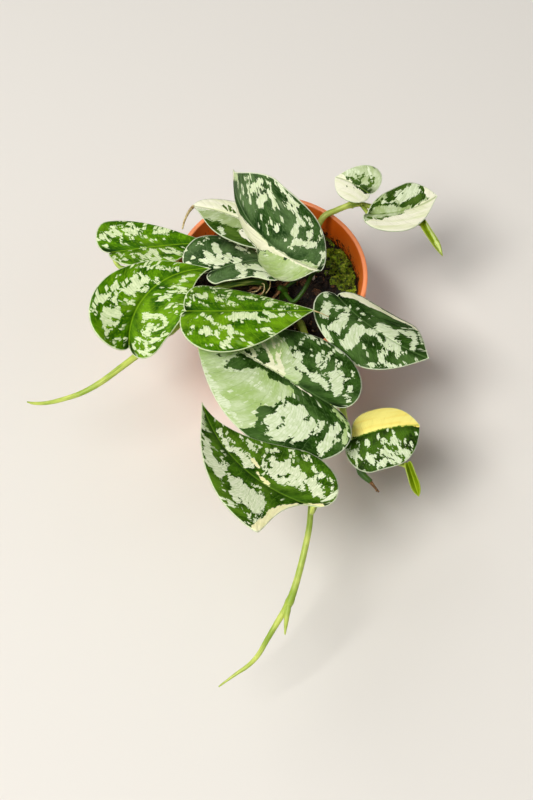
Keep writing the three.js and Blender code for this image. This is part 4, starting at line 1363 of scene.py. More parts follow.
@dataclass(frozen=True)
class StemFinish:
    """A living stem: fibres along it and a few brown lenticels, darker in the shade over the pot."""

    name: str
    light: Rgb
    body: Rgb
    deep: Rgb
    shaded: Rgb = tint(52, 88, 12)
    corky: Rgb = tint(132, 104, 56)

    @cache
    def build(self) -> Material:
        """Builds the stem's material, once.

        Returns:
            The material, which reads the map "run" and object coordinates.
        """
        material, w = new_material(self.name)
        run = w.uv("run")
        fibres = w.mottle(w.stretched(run, (1.0, 0.06, 1.0)), 0.9, 3.0)
        drift = w.mottle(w.stretched(run, (0.3, 1.0, 1.0)), 0.07, 2.0)
        crumble = w.group(Effects.crumble(), Place=w.place(), Scale=900.0)
        colour = w.blend(w.ramp(drift, 0.35, 0.65), self.body, self.light)
        colour = w.tinge(colour, w.ramp(fibres, 0.5, 0.75), 0.55, self.deep)
        x, y, _ = w.parts(w.place())
        shade = w.fade(w.radius(x, y), 26 * MM, 50 * MM)
        colour = w.tinge(colour, shade, w.ramp(fibres, 0.2, 0.5), self.shaded)
        freckle = w.mottle(w.stretched(run, (1.0, 0.5, 1.0)), 0.8, 2.0)
        colour = w.tinge(colour, w.ramp(freckle, 0.68, 0.74), 0.7, self.corky)
        w.surface({
            "Base Color": colour,
            "Roughness": w.line(fibres, 0.2, 0.32),
            "Normal": w.bump(w.line(crumble["Height"], 0.3, fibres), 0.35),
            "Specular IOR Level": 0.4,
        })
        return material


@dataclass(frozen=True)
class BarkFinish:
    """Dried roots, bracts and bark: flaking brown with pale ridges."""

    name: str
    light: Rgb
    body: Rgb
    deep: Rgb

    @cache
    def build(self) -> Material:
        """Builds the bark's material, once.

        Returns:
            The material, which reads object coordinates.
        """
        material, w = new_material(self.name)
        crumble = w.group(Effects.crumble(), Place=w.place(), Scale=260.0)
        ridges = w.mottle(w.place(), 1400.0, 3.0)
        colour = w.blend(crumble["Tone"], self.deep, self.body)
        colour = w.blend(w.ramp(ridges, 0.5, 0.72), colour, self.light)
        w.surface({
            "Base Color": colour,
            "Roughness": w.line(ridges, 0.15, 0.75),
            "Normal": w.bump(crumble["Height"], 0.5),
        })
        return material


class Skin(Enum):
    """What covers a stalk."""

    FRESH = StemFinish("stem_skin", tint(204, 216, 104), tint(150, 178, 58), tint(88, 124, 30))
    SHADED = StemFinish("stem_shaded", tint(66, 104, 22), tint(44, 76, 12), tint(26, 48, 8))
    DRY = BarkFinish("dried_root", tint(196, 152, 96), tint(128, 84, 44), tint(58, 34, 16))
    STRAW = BarkFinish("straw_root", tint(236, 224, 176), tint(206, 186, 128), tint(150, 122, 72))


@dataclass
class Stalks:
    """Stalks that make one piece: a vine with its petioles and roots, or the small dried bits.

    Attributes:
        name: The piece's name.
        slot: The material slot of the record; not used.
        tubes: The stalks of each skin.
        node: The CAD node that the piece stands for, or nothing.
    """

    name: str
    slot: str
    tubes: dict[Skin, list[Tube]]
    node: str = ""

    def build(self) -> Piece:
        """Builds the stalks.

        Returns:
            The piece, with a slot for each skin.
        """
        bm = bmesh.new()
        for slot, tubes in enumerate(self.tubes.values()):
            done = len(bm.faces)
            for tube in tubes:
                pour(tube.shape(), bm)
            bm.faces.ensure_lookup_table()
            for face in bm.faces[done:]:
                face.material_index = slot
        piece = finished(self.name, bm, [skin.value.build() for skin in self.tubes])
        if self.node:
            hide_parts(self.node)
        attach(piece, BODY)
        return piece


def upright(x: float, y: float, radius: float) -> list[Knot]:
    """Returns the knots of a stem's upright foot in the potting mix."""
    return [(x, y, z, radius) for z in STEM_KNOTS]


def petiole(name: str, start: Spot, via: Sequence[Spot] = (), reach: float = 6, radius: float = 1.3) -> Tube:
    """Lays a petiole from a point on its stem to its blade.

    Args:
        name: The blade's node.
        start: Where it leaves the stem.
        via: Points that it passes.
        reach: How far below the blade its last bend lies.
        radius: Its radius.

    Returns:
        The petiole, which ends inside the blade's base.
    """
    form = FORMS[name]
    inset = 1.5
    _, _, up = form.axes(inset)
    seat = form.spine_point(inset) - up * 0.5
    below = seat - up * reach
    knots = [(*point, radius) for point in (start, *via)]
    knots += [(*below, radius), (*seat, radius * 1.05)]
    return Tube(knots, sides=16, steps=8, groove=0.16)


def root(*spots: Sequence[float], radius: float) -> Tube:
    """Lays a thin root or strip that tapers to its end.

    Args:
        *spots: The places that it runs through.
        radius: Its radius at the start.

    Returns:
        The root.
    """
    last, taper = len(spots) - 1, 0.55
    knots = [(*spot, radius * (1 - taper * i / last)) for i, spot in enumerate(spots)]
    return Tube(knots, sides=10, steps=5)


def vine(node: str, tubes: dict[Skin, list[Tube]]) -> Stalks:
    """Returns the stalks that stand for one vine."""
    return Stalks(node + "_skin", "stem_green", tubes, node)


def left_vine() -> Stalks:
    """Lays the vine that runs out to the left.

    Returns:
        Its stalks.
    """
    stem = Tube([
        *upright(-4, -6, 2.1), (-3, -7.5, 87, 2.1), (-5, -8.2, 93, 2.1), (-10, -9.5, 96.3, 2.1),
        (-18.7, -12.4, 99, 2.1), (-27, -15.8, 101, 2.1), (-36, -21, 102, 2.1), (-46, -31, 101, 2.1),
        (-56, -43, 98.5, 2.1), (-70, -55, 98.5, 2), (-80, -64, 98, 2), (-90, -72.5, 97, 1.9),
        (-100, -80, 95, 1.8), (-110.5, -85, 92, 1.6),
        (-121.5, -87, 88, 1.4), (-132.5, -87, 83, 1.2), (-141.5, -85, 79, 0.9), (-145.5, -83, 77, 0.4),
    ], rings=(7.1, 9.1, 10.2, 11.2))
    return vine("vine_left", {
        Skin.FRESH: [
            stem,
            petiole("leaf_left", (-72, -57, 98.5), reach=4),
            petiole(
                "leaf_upper_left", (-60, -46, 98.5), [(-73, -24, 95.5), (-86, 1, 93), (-94, 4, 93)], reach=3,
            ),
            petiole("leaf_centre", (-46, -31, 101), [(-50, -43, 106)], reach=8),
            petiole("leaf_middle", (-27, -15.8, 101), reach=2.5),
        ],
        Skin.STRAW: [
            root((-6, -6.6, 95), (-3, -6, 97), (-0.6, -8, 96), (-0.6, -11.5, 93), (-3, -14, 90), radius=0.55),
            root((-6.4, -9.7, 95), (-4.2, -10.6, 95), (-4.4, -14, 92), (-7.5, -16.5, 90), radius=0.45),
            root((-5, -8, 92), (-8, -12, 90), (-13, -12.5, 89), radius=0.5),
        ],
        Skin.DRY: [
            root((-4, -7, 90), (-7, -10.4, 90), (-10.3, -9.6, 89.5), (-14, -11, 88), radius=1.2),
            root((-3, -8, 88), (-5, -12, 88), (-9, -13.5, 87), radius=0.8),
        ],
    })


def centre_vine() -> Stalks:
    """Lays the short vine in the middle of the pot.

    Returns:
        Its stalks.
    """
    stem = Tube([*upright(8, -6, 2.6), (7.5, -6.5, 83, 2.6), (5.5, -7.5, 86.5, 1.6)], rings=(2.6,))
    return vine("vine_centre", {
        Skin.SHADED: [
            stem,
            petiole("leaf_top", (8, -7, 82), [(14, -16, 84), (20, -11, 88), (25, -4, 94), (28, -8, 108)]),
            petiole("leaf_back", (9, -4, 82), [(20, 3, 87), (21, 12, 94), (12, 18, 101)], reach=3),
        ],
        Skin.DRY: [
            root((6, -8, 84), (2, -13, 84), (-3, -16, 80), (-6, -18, 71), radius=1),
            root((8, -4, 84), (13, 0, 84), (16, 3, 79), (17, 4, 71), radius=1),
            root((7, -4, 82), (9.6, -2.6, 80), (10.6, -6.3, 79), (12, -10, 74), radius=0.9),
        ],
    })


def front_vine() -> Stalks:
    """Lays the long vine that hangs over the rim to the front.

    Returns:
        Its stalks.
    """
    stem = Tube([
        *upright(18, -28, 2.1), (20, -42, 91, 2.1), (22, -58, 98, 2.1), (24, -80, 100.5, 2.1),
        (25, -105, 101.5, 2), (24.5, -130, 101.5, 1.9),
        (23.5, -150, 100.5, 1.8), (22, -162, 99, 1.7), (21, -172, 96, 1.7), (18, -185.5, 91, 1.8),
        (14, -199.5, 85, 1.9), (10, -209.5, 79, 2.2), (4, -218, 73, 1.7), (-2, -226.5, 67, 1.5),
        (-7.5, -234.5, 62, 1.4), (-13, -239, 58, 1.2), (-20, -243, 55, 0.9), (-29, -248.5, 51, 0.4),
    ], rings=(5.4, 8.1, 13))
    bud = Tube([
        (10, -208, 79.5, 1.6), (9, -214, 78, 1.7), (8, -221, 75, 1.1), (7.5, -226, 73, 0.4),
    ], sides=14)
    return vine("vine_front", {
        Skin.FRESH: [
            stem,
            bud,
            petiole("leaf_big", (26, -92, 101), [(31, -100, 103)], reach=5),
            petiole("leaf_front", (24, -148, 100.5), [(25, -159, 104)], reach=5),
        ],
    })


def right_vine() -> Stalks:
    """Lays the vine that runs down the right side to a withered end.

    Returns:
        Its stalks.
    """
    stem = Tube([
        *upright(33, -15, 2), (37, -29, 92, 2), (42, -42, 97.3, 2), (44, -58, 96.5, 2), (43, -78, 94, 2),
        (42, -97, 91, 2), (44.5, -113, 87.5, 1.9), (49.5, -127, 84.5, 1.9),
    ], rings=(3.1, 7.2))
    stub = Tube([(49.2, -126.2, 84.6, 1.92), (52.5, -134, 83.5, 2.1), (57, -138.5, 83, 1.5)], rings=(0.8,))
    return vine("vine_right", {
        Skin.FRESH: [
            stem,
            petiole("leaf_right", (36, -27, 90.5), [(40, -27, 96)], reach=4),
            petiole("leaf_yellow", (42.5, -101, 90.2), [(43, -112, 91)], reach=5, radius=1),
            petiole("sheath", (44.5, -113, 87.5), [(58, -123, 86), (71, -128, 87)], reach=2),
        ],
        Skin.SHADED: [stub],
        Skin.DRY: [
            root((56.4, -137.9, 83), (58.6, -141, 82.8), (61.5, -144.5, 82), radius=1.25),
            root((56.8, -138.6, 83.4), (59, -141.4, 83.6), (60.2, -144.6, 82.6), radius=0.7),
        ],
    })


def back_vine() -> Stalks:
    """Lays the vine that leaves over the back of the rim.

    Returns:
        Its stalks.
    """
    stem = Tube([
        *upright(26, 26, 2), (29, 34, 90, 2), (34, 40.5, 96, 2), (41, 43.5, 97.5, 1.9), (47, 45.5, 99, 1.9),
        (51.5, 46.5, 100, 2.3), (56, 46, 101, 1.7), (64, 42.5, 102.5, 1.6),
    ], rings=(6.9,))
    return vine("vine_back", {
        Skin.FRESH: [
            stem,
            petiole("leaf_rolled", (63, 43, 102.4), [(78, 35, 103.5), (89, 30, 104)], reach=1.5),
            petiole("leaf_small", (52, 46.5, 100.5), [(57, 46, 105)], reach=3),
            petiole("leaf_back_right", (57, 45.5, 101), [(60, 38, 103.5)], reach=3),
        ],
    })


def withered_bits() -> Stalks:
    """Lays the dried bits.

    Returns:
        The drip tip of the centre leaf and the curled strip at the back.
    """
    centre, back = FORMS["leaf_centre"], FORMS["leaf_back"]
    tip = centre.spine_point(centre.length - 0.8)
    drip = [tip + Vector(way) for way in ((0, 0, 0), (4, -1, -1), (9, -2.4, -3))]
    end = back.spine_point(back.length - 0.6)
    strip = [end + Vector(way) for way in ((0, 0, 0), (-2.6, -4, 0), (-5.2, -10, -0.8), (-6.6, -16, -2))]
    return Stalks("withered_bits", "leaf_pale", {
        Skin.STRAW: [root(*strip, radius=1.1), root(*drip, radius=0.45)],
    })


# ---- Potting mix and moss ----


@dataclass(frozen=True)
class MixFinish:
    """Damp potting mix: near-black peat with brown fibres."""

    wet: Rgb = tint(14, 8, 5)
    peat: Rgb = tint(40, 25, 14)
    fibre: Rgb = tint(108, 74, 36)

    def build(self) -> Material:
        """Builds the mix's material.

        Returns:
            The material, which reads object coordinates.
        """
        material, w = new_material("potting_mix")
        crumble = w.group(Effects.crumble(), Place=w.place(), Scale=240.0)
        threads = w.mottle(w.stretched(w.place(), (1.0, 0.25, 1.0)), 2600.0, 2.0)
        colour = w.blend(crumble["Tone"], self.wet, self.peat)
        colour = w.tinge(colour, w.ramp(threads, 0.62, 0.72), 0.7, self.fibre)
        w.surface({
            "Base Color": colour,
            "Roughness": w.line(crumble["Tone"], 0.15, 0.8),
            "Normal": w.bump(crumble["Height"], 0.9),
        })
        return material


@dataclass
class PottingMix:
    """The crumbly top of the mix, with bark chips and white grains, which lies on the CAD soil.

    Relief and lean are the CAD soil's lumps and its rise to the right. Lengths are in millimetres.
    """

    radius: float = 54.6
    foot: float = 66
    relief: float = 1.3
    lean: float = 2.5
    cover: float = 0.9
    crumb: float = 1.5
    grit: float = 0.6
    swell: float = 1.2
    sectors: int = 300
    rings: int = 56
    chips: int = 340
    grains: int = 46
    seed: int = 7

    CRUMBS_PER_MM = 0.42
    GRITS_PER_MM = 1.1
    SWELLS_PER_MM = 0.12

    # For the strewn bits: the ball's subdivisions, how far they turn and tip in radians, how far
    # they sink in, how many knobs there are in a metre and how much these stand out.
    BALL_DETAIL = 2
    TURN, TIP = 6.28, 0.7
    PERCH = 0.35
    KNOBS, KNOBBLE = 900, 0.5

    def height(self, x: float, y: float) -> float:
        """Returns the CAD soil's height at a place, in millimetres."""
        lumps = math.sin(0.31 * x + 1.1) * math.cos(0.27 * y - 0.6) + 0.5 * math.sin(0.71 * x - 0.53 * y)
        return SOIL_TOP + self.relief * lumps + self.lean * max(0, x / 60)

    def crumbs(self, x: float, y: float) -> float:
        """Piles up crumbs, grit and slow swells.

        Args:
            x: The place across, in millimetres.
            y: The place in depth, in millimetres.

        Returns:
            Their height in millimetres.
        """
        near, _ = noise.voronoi(Vector((x * self.CRUMBS_PER_MM, y * self.CRUMBS_PER_MM, 0.3)))
        fine, _ = noise.voronoi(Vector((x * self.GRITS_PER_MM, y * self.GRITS_PER_MM, 4.2)))
        broad = noise.noise(Vector((x * self.SWELLS_PER_MM, y * self.SWELLS_PER_MM, 2.0)))
        return self.crumb * (0.9 - near[0]) + self.grit * (0.8 - fine[0]) + self.swell * broad

    def top(self, x: float, y: float) -> float:
        """Returns the height of the crumbly top at a place, in millimetres."""
        return self.height(x, y) + self.cover + max(-0.4, self.crumbs(x, y))

    def crust(self) -> BMesh:
        """Builds the crumbly top.

        Returns:
            A closed slab, whose map "run" holds the plan in millimetres.
        """
        rows = self.rings + 3

        def place(around: float, along: float) -> Vector:
            """Finds a place on the slab's skin.

            Args:
                around: From 0 to 1 round it.
                along: From 0 in the middle of the foot over the rim to 1 in the middle of the top.

            Returns:
                The place in metres.
            """
            row = round(along * rows)
            angle = 2 * math.pi * around
            radius = self.radius * min(1, row / 2, (rows - row) / self.rings)
            x, y = radius * math.cos(angle), radius * math.sin(angle)
            z = self.foot if row <= 2 else self.top(x, y)
            return Vector((x, y, z)) * MM

        def disc(around: float, along: float) -> Pair:
            """Returns the plan place in millimetres."""
            spot = place(around, along) / MM
            return spot.x, spot.y

        return bent_grid(self.sectors, rows, place, {"run": disc})

    def scatter(
        self, bm: BMesh, count: int, size: Pair, flat: Pair, slot: int, rng: random.Random
    ) -> None:
        """Strews knobbly bits over the mix.

        Args:
            bm: The mesh that receives them.
            count: How many there are.
            size: Their least and greatest radius in millimetres.
            flat: The least and greatest share of their height.
            slot: Their material slot.
            rng: The seeded source of chance.
        """
        for _ in range(count):
            angle = rng.uniform(0, 2 * math.pi)
            way = (self.radius - 3) * math.sqrt(rng.random())
            x, y = way * math.cos(angle), way * math.sin(angle)
            radius = rng.uniform(*size)
            stretch = Vector((radius * rng.uniform(0.7, 1.9), radius, radius * rng.uniform(*flat)))
            turn = Matrix.Rotation(rng.uniform(0, self.TURN), 4, "Z")
            turn @= Matrix.Rotation(rng.uniform(-self.TIP, self.TIP), 4, "X")
            spot = Vector((x, y, self.top(x, y) + stretch.z * self.PERCH)) * MM
            matrix = Matrix.Translation(spot) @ turn @ Matrix.Diagonal((*(stretch * MM), 1))
            made = bmesh.ops.create_icosphere(bm, subdivisions=self.BALL_DETAIL, radius=1, matrix=matrix)
            for vert in made["verts"]:
                jag = noise.noise(vert.co * self.KNOBS + Vector((x, y, 0)))
                vert.co += (vert.co - spot) * self.KNOBBLE * jag
            for face in {face for vert in made["verts"] for face in vert.link_faces}:
                face.material_index = slot

    def build(self) -> Piece:
        """Builds the top of the mix and makes the material that the CAD soil below it shares.

        Returns:
            The crumbly top.
        """
        rng = random.Random(self.seed)
        bm = self.crust()
        self.scatter(bm, self.chips, (0.8, 2.3), (0.35, 0.8), 0, rng)
        self.scatter(bm, self.chips // 3, (1.2, 3.2), (0.2, 0.4), 1, rng)
        self.scatter(bm, self.grains, (0.5, 1.3), (0.6, 0.9), 2, rng)
        earth = MixFinish()
        bark = BarkFinish("bark_chip", tint(170, 124, 78), tint(92, 58, 32), tint(40, 24, 14))
        white = BarkFinish("perlite", tint(240, 232, 220), tint(206, 190, 176), tint(140, 118, 104))
        piece = finished("mix_crumbs", bm, [look.build() for look in (earth, bark, white)])
        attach(piece, BODY)
        return piece


@dataclass(frozen=True)
class MossFinish:
    """Moss: each leaflet runs from a dark foot, partly its own colour and partly painted shade, to a
    yellow-green tip; the glints are painted highlights and the hollows painted shade.
    """

    foot: Rgb = tint(10, 18, 1)
    tip: Rgb = tint(158, 200, 6)
    glint: Rgb = tint(226, 232, 84)

    def build(self) -> Material:
        """Builds the moss's material.

        Returns:
            The material, which reads object coordinates.
        """
        material, w = new_material("moss")
        tufts = w.ramp(w.mottle(w.place(), 420.0, 3.0), 0.3, 0.66)
        # Painted shade: broad hollows darkened towards the foot colour.
        hollow_shade = w.ramp(w.mottle(w.place(), 110.0, 2.0), 0.6, 0.36)
        # Painted highlights: glints over the tufts.
        glint = w.mottle(w.place(), 900.0, 4.0)
        colour = w.blend(tufts, self.foot, self.tip)
        colour = w.tinge(colour, w.ramp(glint, 0.46, 0.66), tufts, self.glint)
        colour = w.tinge(colour, hollow_shade, 0.4, self.foot)
        w.surface({
            "Base Color": colour,
            "Roughness": w.line(glint, 0.2, 0.6),
            "Normal": w.bump(glint, 0.2),
        })
        return material


@dataclass
class Moss:
    """Cushions of moss on the mix, each (x, y, radius) in millimetres.

    A cushion has density * radius**2 shoots and stands dome * radius high.
    """

    mix: PottingMix
    cushions: tuple[Spot, ...] = (
        (44, 24, 6), (48, 17, 6.5), (43, 13, 6), (49, 8, 6), (51, 0, 4.5), (51, -7, 3.5), (39, 19, 4.5),
        (38, 28, 4), (41, 6, 4), (45, 2, 3.5), (46, 28, 3), (36, 39, 2.6), (40, 36, 2.5), (47, -3, 3),
        (35, 12, 2.6),
    )
    density: float = 9
    shoot: Pair = (1.0, 2.2)
    dome: float = 0.62
    seed: int = 11

    # In millimetres: a shoot's radius at its foot and its tip, how deep it is rooted, how deep the
    # bed lies and the height of its lumps. LEAN is in radians, LUMPS_PER_M counts noise cells.
    FOOT_RADIUS, TIP_RADIUS = 0.32, 0.05
    ROOTED, SUNK = 0.6, 0.8
    LUMP, LUMPS_PER_M = 0.7, 700
    LEAN = 0.9

    def shoots(self, bm: BMesh, cushion: Spot, rng: random.Random) -> None:
        """Plants one cushion's shoots as small leaning cones.

        Args:
            bm: The mesh that receives them.
            cushion: The cushion's place and radius.
            rng: The seeded source of chance.
        """
        x0, y0, radius = cushion
        for _ in range(int(self.density * radius * radius)):
            angle = rng.uniform(0, 2 * math.pi)
            way = radius * math.sqrt(rng.random())
            x, y = x0 + way * math.cos(angle), y0 + way * math.sin(angle)
            if math.hypot(x, y) > self.mix.radius - 0.8:
                continue
            dome = self.dome * radius * math.sqrt(max(0.05, 1 - (way / radius) ** 2))
            tall = rng.uniform(*self.shoot)
            lean = Matrix.Rotation(rng.uniform(-self.LEAN, self.LEAN), 4, "X")
            lean @= Matrix.Rotation(rng.uniform(-self.LEAN, self.LEAN), 4, "Y")
            spot = Vector((x, y, self.mix.top(x, y) + dome - self.ROOTED)) * MM
            bmesh.ops.create_cone(
                bm, cap_ends=False, segments=3, radius1=self.FOOT_RADIUS * MM, radius2=self.TIP_RADIUS * MM,
                depth=tall * MM, matrix=Matrix.Translation(spot) @ lean,
            )

    def bed(self, bm: BMesh, cushion: Spot) -> None:
        """Lays the lumpy ball under one cushion's shoots and keeps it inside the pot.

        Args:
            bm: The mesh that receives it.
            cushion: The cushion's place and radius.
        """
        x, y, radius = cushion
        matrix = Matrix.Translation(Vector((x, y, self.mix.top(x, y) - self.SUNK)) * MM)
        matrix @= Matrix.Diagonal((radius * MM, radius * MM, self.dome * radius * MM, 1))
        made = bmesh.ops.create_icosphere(bm, subdivisions=4, radius=0.96, matrix=matrix)
        limit = (self.mix.radius - 0.6) * MM
        for vert in made["verts"]:
            vert.co.z += self.LUMP * MM * noise.noise(vert.co * self.LUMPS_PER_M)
            reach = math.hypot(vert.co.x, vert.co.y)
            if reach > limit:
                vert.co.x *= limit / reach
                vert.co.y *= limit / reach

    def build(self) -> Piece:
        """Grows every cushion.

        Returns:
            The moss as one piece.
        """
        rng = random.Random(self.seed)
        bm = bmesh.new()
        for cushion in self.cushions:
            self.shoots(bm, cushion, rng)
            self.bed(bm, cushion)
        piece = finished("moss", bm, [MossFinish().build()])
        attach(piece, BODY)
        return piece


# ---- Pot ----


@dataclass
class Pot:
    """The tapered nursery pot in millimetres, spun from its profile, with drain holes cut through it."""

    height: float = 92
    rim_radius: float = 60
    base_radius: float = 47
    wall: float = 1.6
    band_height: float = 9
    band_proud: float = 1.3
    lip: float = 0.9
    floor: float = 2
    foot_radius: float = 44
    holes: int = 6
    hole_radius: float = 4
    hole_circle: float = 30
    segments: int = 240

    def outer(self, z: float) -> float:
        """Returns the wall's outer radius at a height."""
        return mix(self.base_radius, self.rim_radius - self.band_proud, z / self.height)

    def profile(self) -> list[Pair]:
        """Draws the section from the outer foot over the rim to the inner floor.

        Returns:
            Its corners (radius, height).
        """
        band, top, lip = self.height - self.band_height, self.height - self.lip, self.lip
        inner_rim = self.outer(self.height) - self.wall
        curve = [(math.cos(a), math.sin(a)) for a in (0, 0.4, 0.8, 1.2, math.pi / 2)]
        outside = [(self.rim_radius - lip + lip * c, top + lip * s) for c, s in curve]
        inside = [(inner_rim + lip - lip * c, top + lip * s) for c, s in reversed(curve)]
        inner_floor = self.outer(self.floor) - self.wall
        return [
            (0, 0), (self.foot_radius, 0), (self.foot_radius + 0.8, 0.2), (self.base_radius, 2.5),
            (self.base_radius + 0.3, 4), (self.outer(band / 2), band / 2),
            (self.outer(band) - 0.05, band - 0.6), (self.outer(band) + 0.3, band),
            (self.rim_radius - lip, band + 0.2), (self.rim_radius, band + 1.1),
            *outside, *inside, (self.outer(self.height / 2) - self.wall, self.height / 2),
            (inner_floor + 0.1, self.floor + 0.6), (inner_floor - 0.6, self.floor), (0, self.floor),
        ]

    def shell(self) -> BMesh:
        """Spins the profile.

        Returns:
            The closed wall in metres.
        """
        bm = bmesh.new()
        verts = [bm.verts.new(Vector((r, 0, z)) * MM) for r, z in self.profile()]
        edges = [bm.edges.new(pair) for pair in zip(verts, verts[1:])]
        bmesh.ops.spin(
            bm, geom=[*verts, *edges], cent=(0, 0, 0), axis=(0, 0, 1), angle=2 * math.pi,
            steps=self.segments, use_merge=True,
        )
        bmesh.ops.remove_doubles(bm, verts=bm.verts, dist=MERGE)
        bmesh.ops.recalc_face_normals(bm, faces=bm.faces)
        return bm

    def cutters(self) -> BMesh:
        """Sets up the pins that cut the drain holes.

        Returns:
            The pins in metres.
        """
        bm = bmesh.new()
        for i in range(self.holes):
            angle = 2 * math.pi * i / self.holes
            spot = Vector((math.cos(angle), math.sin(angle), 0)) * self.hole_circle * MM
            bmesh.ops.create_cone(
                bm, cap_ends=True, segments=32, radius1=self.hole_radius * MM, radius2=self.hole_radius * MM,
                depth=4 * self.floor * MM, matrix=Matrix.Translation(spot),
            )
        return bm

    def build(self, soil_line: float) -> Piece:
        """Builds the pot and dresses it.

        Args:
            soil_line: Height of the mix against the wall, in millimetres.

        Returns:
            The pot, which stands for its CAD node.
        """
        piece = finished("pot_wall", self.shell(), [PotFinish().build(self, soil_line)])
        cutter = finished("hole_cutter", self.cutters(), [])
        cut = piece.modifiers.new("holes", "BOOLEAN")
        cut.object = cutter
        cut.solver = "EXACT"
        shaped = bpy.data.meshes.new_from_object(piece.evaluated_get(bpy.context.evaluated_depsgraph_get()))
        piece.modifiers.clear()
        piece.data = shaped
        bpy.data.objects.remove(cutter)
        shaped.set_sharp_from_angle(angle=math.radians(40))
        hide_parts("pot")
        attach(piece, BODY)
        return piece


@dataclass(frozen=True)
class PotFinish:
    """Terracotta-coloured plastic: satin, faintly mottled, with random pale scuffs, a painted highlight along
    the rim's lip, and soil dust low on the inner wall that also stands as painted shade over the wall's lower
    part.
    """

    light: Rgb = tint(255, 126, 44)
    body: Rgb = tint(252, 112, 18)
    dust_and_shade: Rgb = tint(46, 26, 14)
    scuff_and_rim_highlight: Rgb = tint(250, 168, 122)

    def build(self, pot: Pot, soil_line: float) -> Material:
        """Builds the pot's material.

        Args:
            pot: The pot, which tells the inner wall from the outer one.
            soil_line: Height of the mix against the wall, in millimetres.

        Returns:
            The material of the whole pot, which reads object coordinates.
        """
        material, w = new_material("pot_plastic")
        place = w.place()
        x, y, z = w.parts(place)
        way = w.radius(x, y)
        taper = (pot.rim_radius - pot.band_proud - pot.base_radius) / pot.height
        wall = w.line(z, taper, (pot.base_radius - pot.wall / 2) * MM)
        inside = w.ramp(w.maths("SUBTRACT", wall, way), 0.0, 0.4 * MM)
        cloudy = w.mottle(place, 45.0, 5.0)
        grain = w.mottle(place, 2400.0, 2.0)
        colour = w.blend(w.ramp(cloudy, 0.3, 0.7), self.body, self.light)
        colour = w.tinge(colour, w.ramp(w.mottle(place, 160.0, 6.0), 0.62, 0.78), 0.35, self.scuff_and_rim_highlight)
        # Painted highlight: a pale band along the rim's lip, in the scuff colour.
        lip = w.line(w.mottle(place, 120.0, 3.0), 2 * MM, z)
        colour = w.tinge(colour, w.ramp(lip, (pot.height - 0.4) * MM, (pot.height + 1) * MM), 0.6, self.scuff_and_rim_highlight)
        crumble = w.group(Effects.crumble(), Place=place, Scale=620.0)
        # Soil dust caked low on the inner wall, spread higher as painted shade over the wall's lower part.
        low = w.line(w.mottle(place, 90.0, 3.0), -24 * MM, z)
        low = w.ramp(low, (soil_line + 3) * MM, (soil_line - 12) * MM)
        caked = w.line(crumble["Tone"], 0.6, w.maths("MULTIPLY", low, 1.1))
        dust_and_shade = w.maths("MULTIPLY", w.ramp(caked, 0.72, 1.15), inside)
        colour = w.blend(dust_and_shade, colour, self.dust_and_shade)
        relief = w.line(crumble["Height"], w.maths("MULTIPLY", dust_and_shade, 3.0), grain)
        w.surface({
            "Base Color": colour,
            "Roughness": w.line(cloudy, 0.22, 0.3),
            "Normal": w.bump(relief, 0.06),
            "Specular IOR Level": 0.5,
        })
        return material


# ---- Studio ----


@dataclass(frozen=True)
class Lamp:
    """A soft square lamp, in metres, watts and linear colour."""

    name: str
    spot: Spot
    size: float
    power: float
    colour: Rgb

    def hang(self, target: Vector) -> None:
        """Hangs the lamp so that it faces the target.

        Args:
            target: The target in metres.
        """
        light = bpy.data.lights.new(self.name, "AREA")
        light.size = self.size
        light.energy = self.power
        light.color = self.colour
        lamp = bpy.data.objects.new(self.name, light)
        lamp.location = self.spot
        lamp.rotation_euler = (target - Vector(self.spot)).to_track_quat("-Z", "Y").to_euler()
        bpy.context.scene.collection.objects.link(lamp)


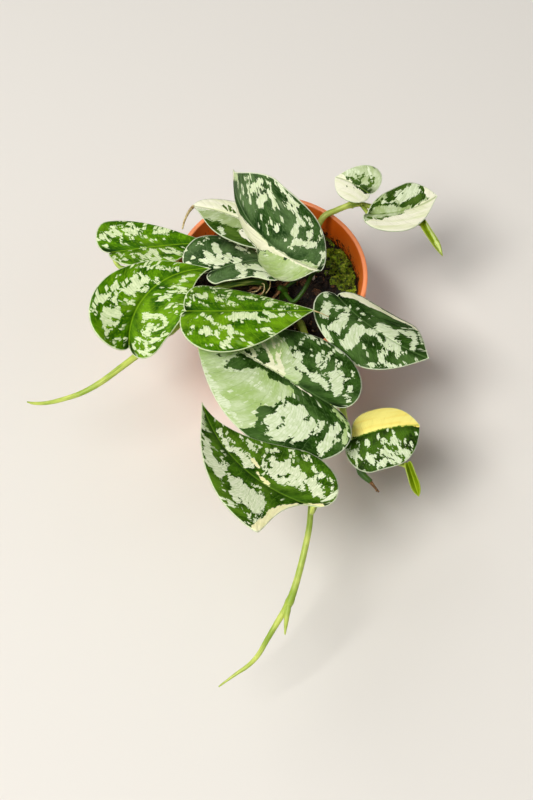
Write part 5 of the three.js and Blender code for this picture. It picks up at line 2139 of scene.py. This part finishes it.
@dataclass
class Studio:
    """The pale floor, the soft light and the camera, which looks down on the target in millimetres."""

    target: Spot = (-2.6, -90, 92)
    distance: float = 760
    elevation: float = 61
    focal_length: float = 58.5
    floor_size: float = 8
    lamps: tuple[Lamp, ...] = (
        Lamp("key_light", (-0.9, -0.9, 2.15), 0.9, 58, (1.0, 0.985, 0.95)),
        Lamp("back_light", (-0.9, 1.2, 1.9), 1.2, 11, (1.0, 0.99, 0.97)),
        Lamp("fill_light", (1.7, -1.0, 1.8), 1.6, 6, (0.94, 0.97, 1.0)),
    )
    air: float = 0.13

    def camera(self) -> None:
        """Places the camera and makes it the scene's."""
        tilt = math.radians(90 - self.elevation)
        back = Vector((0, -math.sin(tilt), math.cos(tilt)))
        lens = bpy.data.cameras.new("camera")
        lens.lens = self.focal_length
        lens.clip_start = 10 * MM
        camera = bpy.data.objects.new("camera", lens)
        camera.location = (Vector(self.target) + back * self.distance) * MM
        camera.rotation_euler = (tilt, 0, 0)
        bpy.context.scene.collection.objects.link(camera)
        bpy.context.scene.camera = camera

    def floor(self) -> None:
        """Lays the pale floor."""
        material, w = new_material("studio_floor")
        w.surface({"Base Color": tint(226, 222, 216), "Roughness": 0.85})
        bm = bmesh.new()
        bmesh.ops.create_grid(bm, x_segments=1, y_segments=1, size=self.floor_size / 2)
        floor = finished("studio_floor", bm, [material])

    def build(self) -> None:
        """Sets up the whole studio."""
        self.camera()
        self.floor()
        for lamp in self.lamps:
            lamp.hang(Vector(self.target) * MM)
        world = bpy.data.worlds.new("studio_air")
        world.use_nodes = True
        sky = world.node_tree.nodes["Background"]
        sky.inputs["Color"].default_value = (1.0, 1.0, 1.0, 1.0)
        sky.inputs["Strength"].default_value = self.air
        bpy.context.scene.world = world
        bpy.context.scene.view_settings.view_transform = "Standard"


# ---- Assembly ----


def count_triangles(piece: Piece) -> int:
    """Counts a finished piece's triangles.

    Args:
        piece: The piece.

    Returns:
        How many there are, with its modifiers.
    """
    shown = piece.evaluated_get(bpy.context.evaluated_depsgraph_get()).to_mesh()
    shown.calc_loop_triangles()
    return len(shown.loop_triangles)


def report(piece: Piece) -> None:
    """Logs a piece by name and size."""
    log.info("%s: %d triangles", piece.name, count_triangles(piece))


def main() -> None:
    """Loads the frame and builds every sub-assembly in order."""
    logging.basicConfig(level=logging.INFO, format="%(name)s %(message)s")
    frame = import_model()
    Studio().build()

    mix_top = PottingMix()
    report(Pot().build(SOIL_TOP))
    report(mix_top.build())
    report(Moss(mix_top).build())
    for slot in frame["nodes"]["soil"].material_slots:
        slot.material = bpy.data.materials["potting_mix"]

    for stalks in (left_vine(), centre_vine(), front_vine(), right_vine(), back_vine(), withered_bits()):
        report(stalks.build())
    for name, form in FORMS.items():
        marks = {mark: MARKS.get((name, mark), []) for mark in Mark}
        report(Leaf(name, KINDS.get(name, LeafKind.BRIGHT), form, marks).build())


if __name__ == "__main__":
    main()
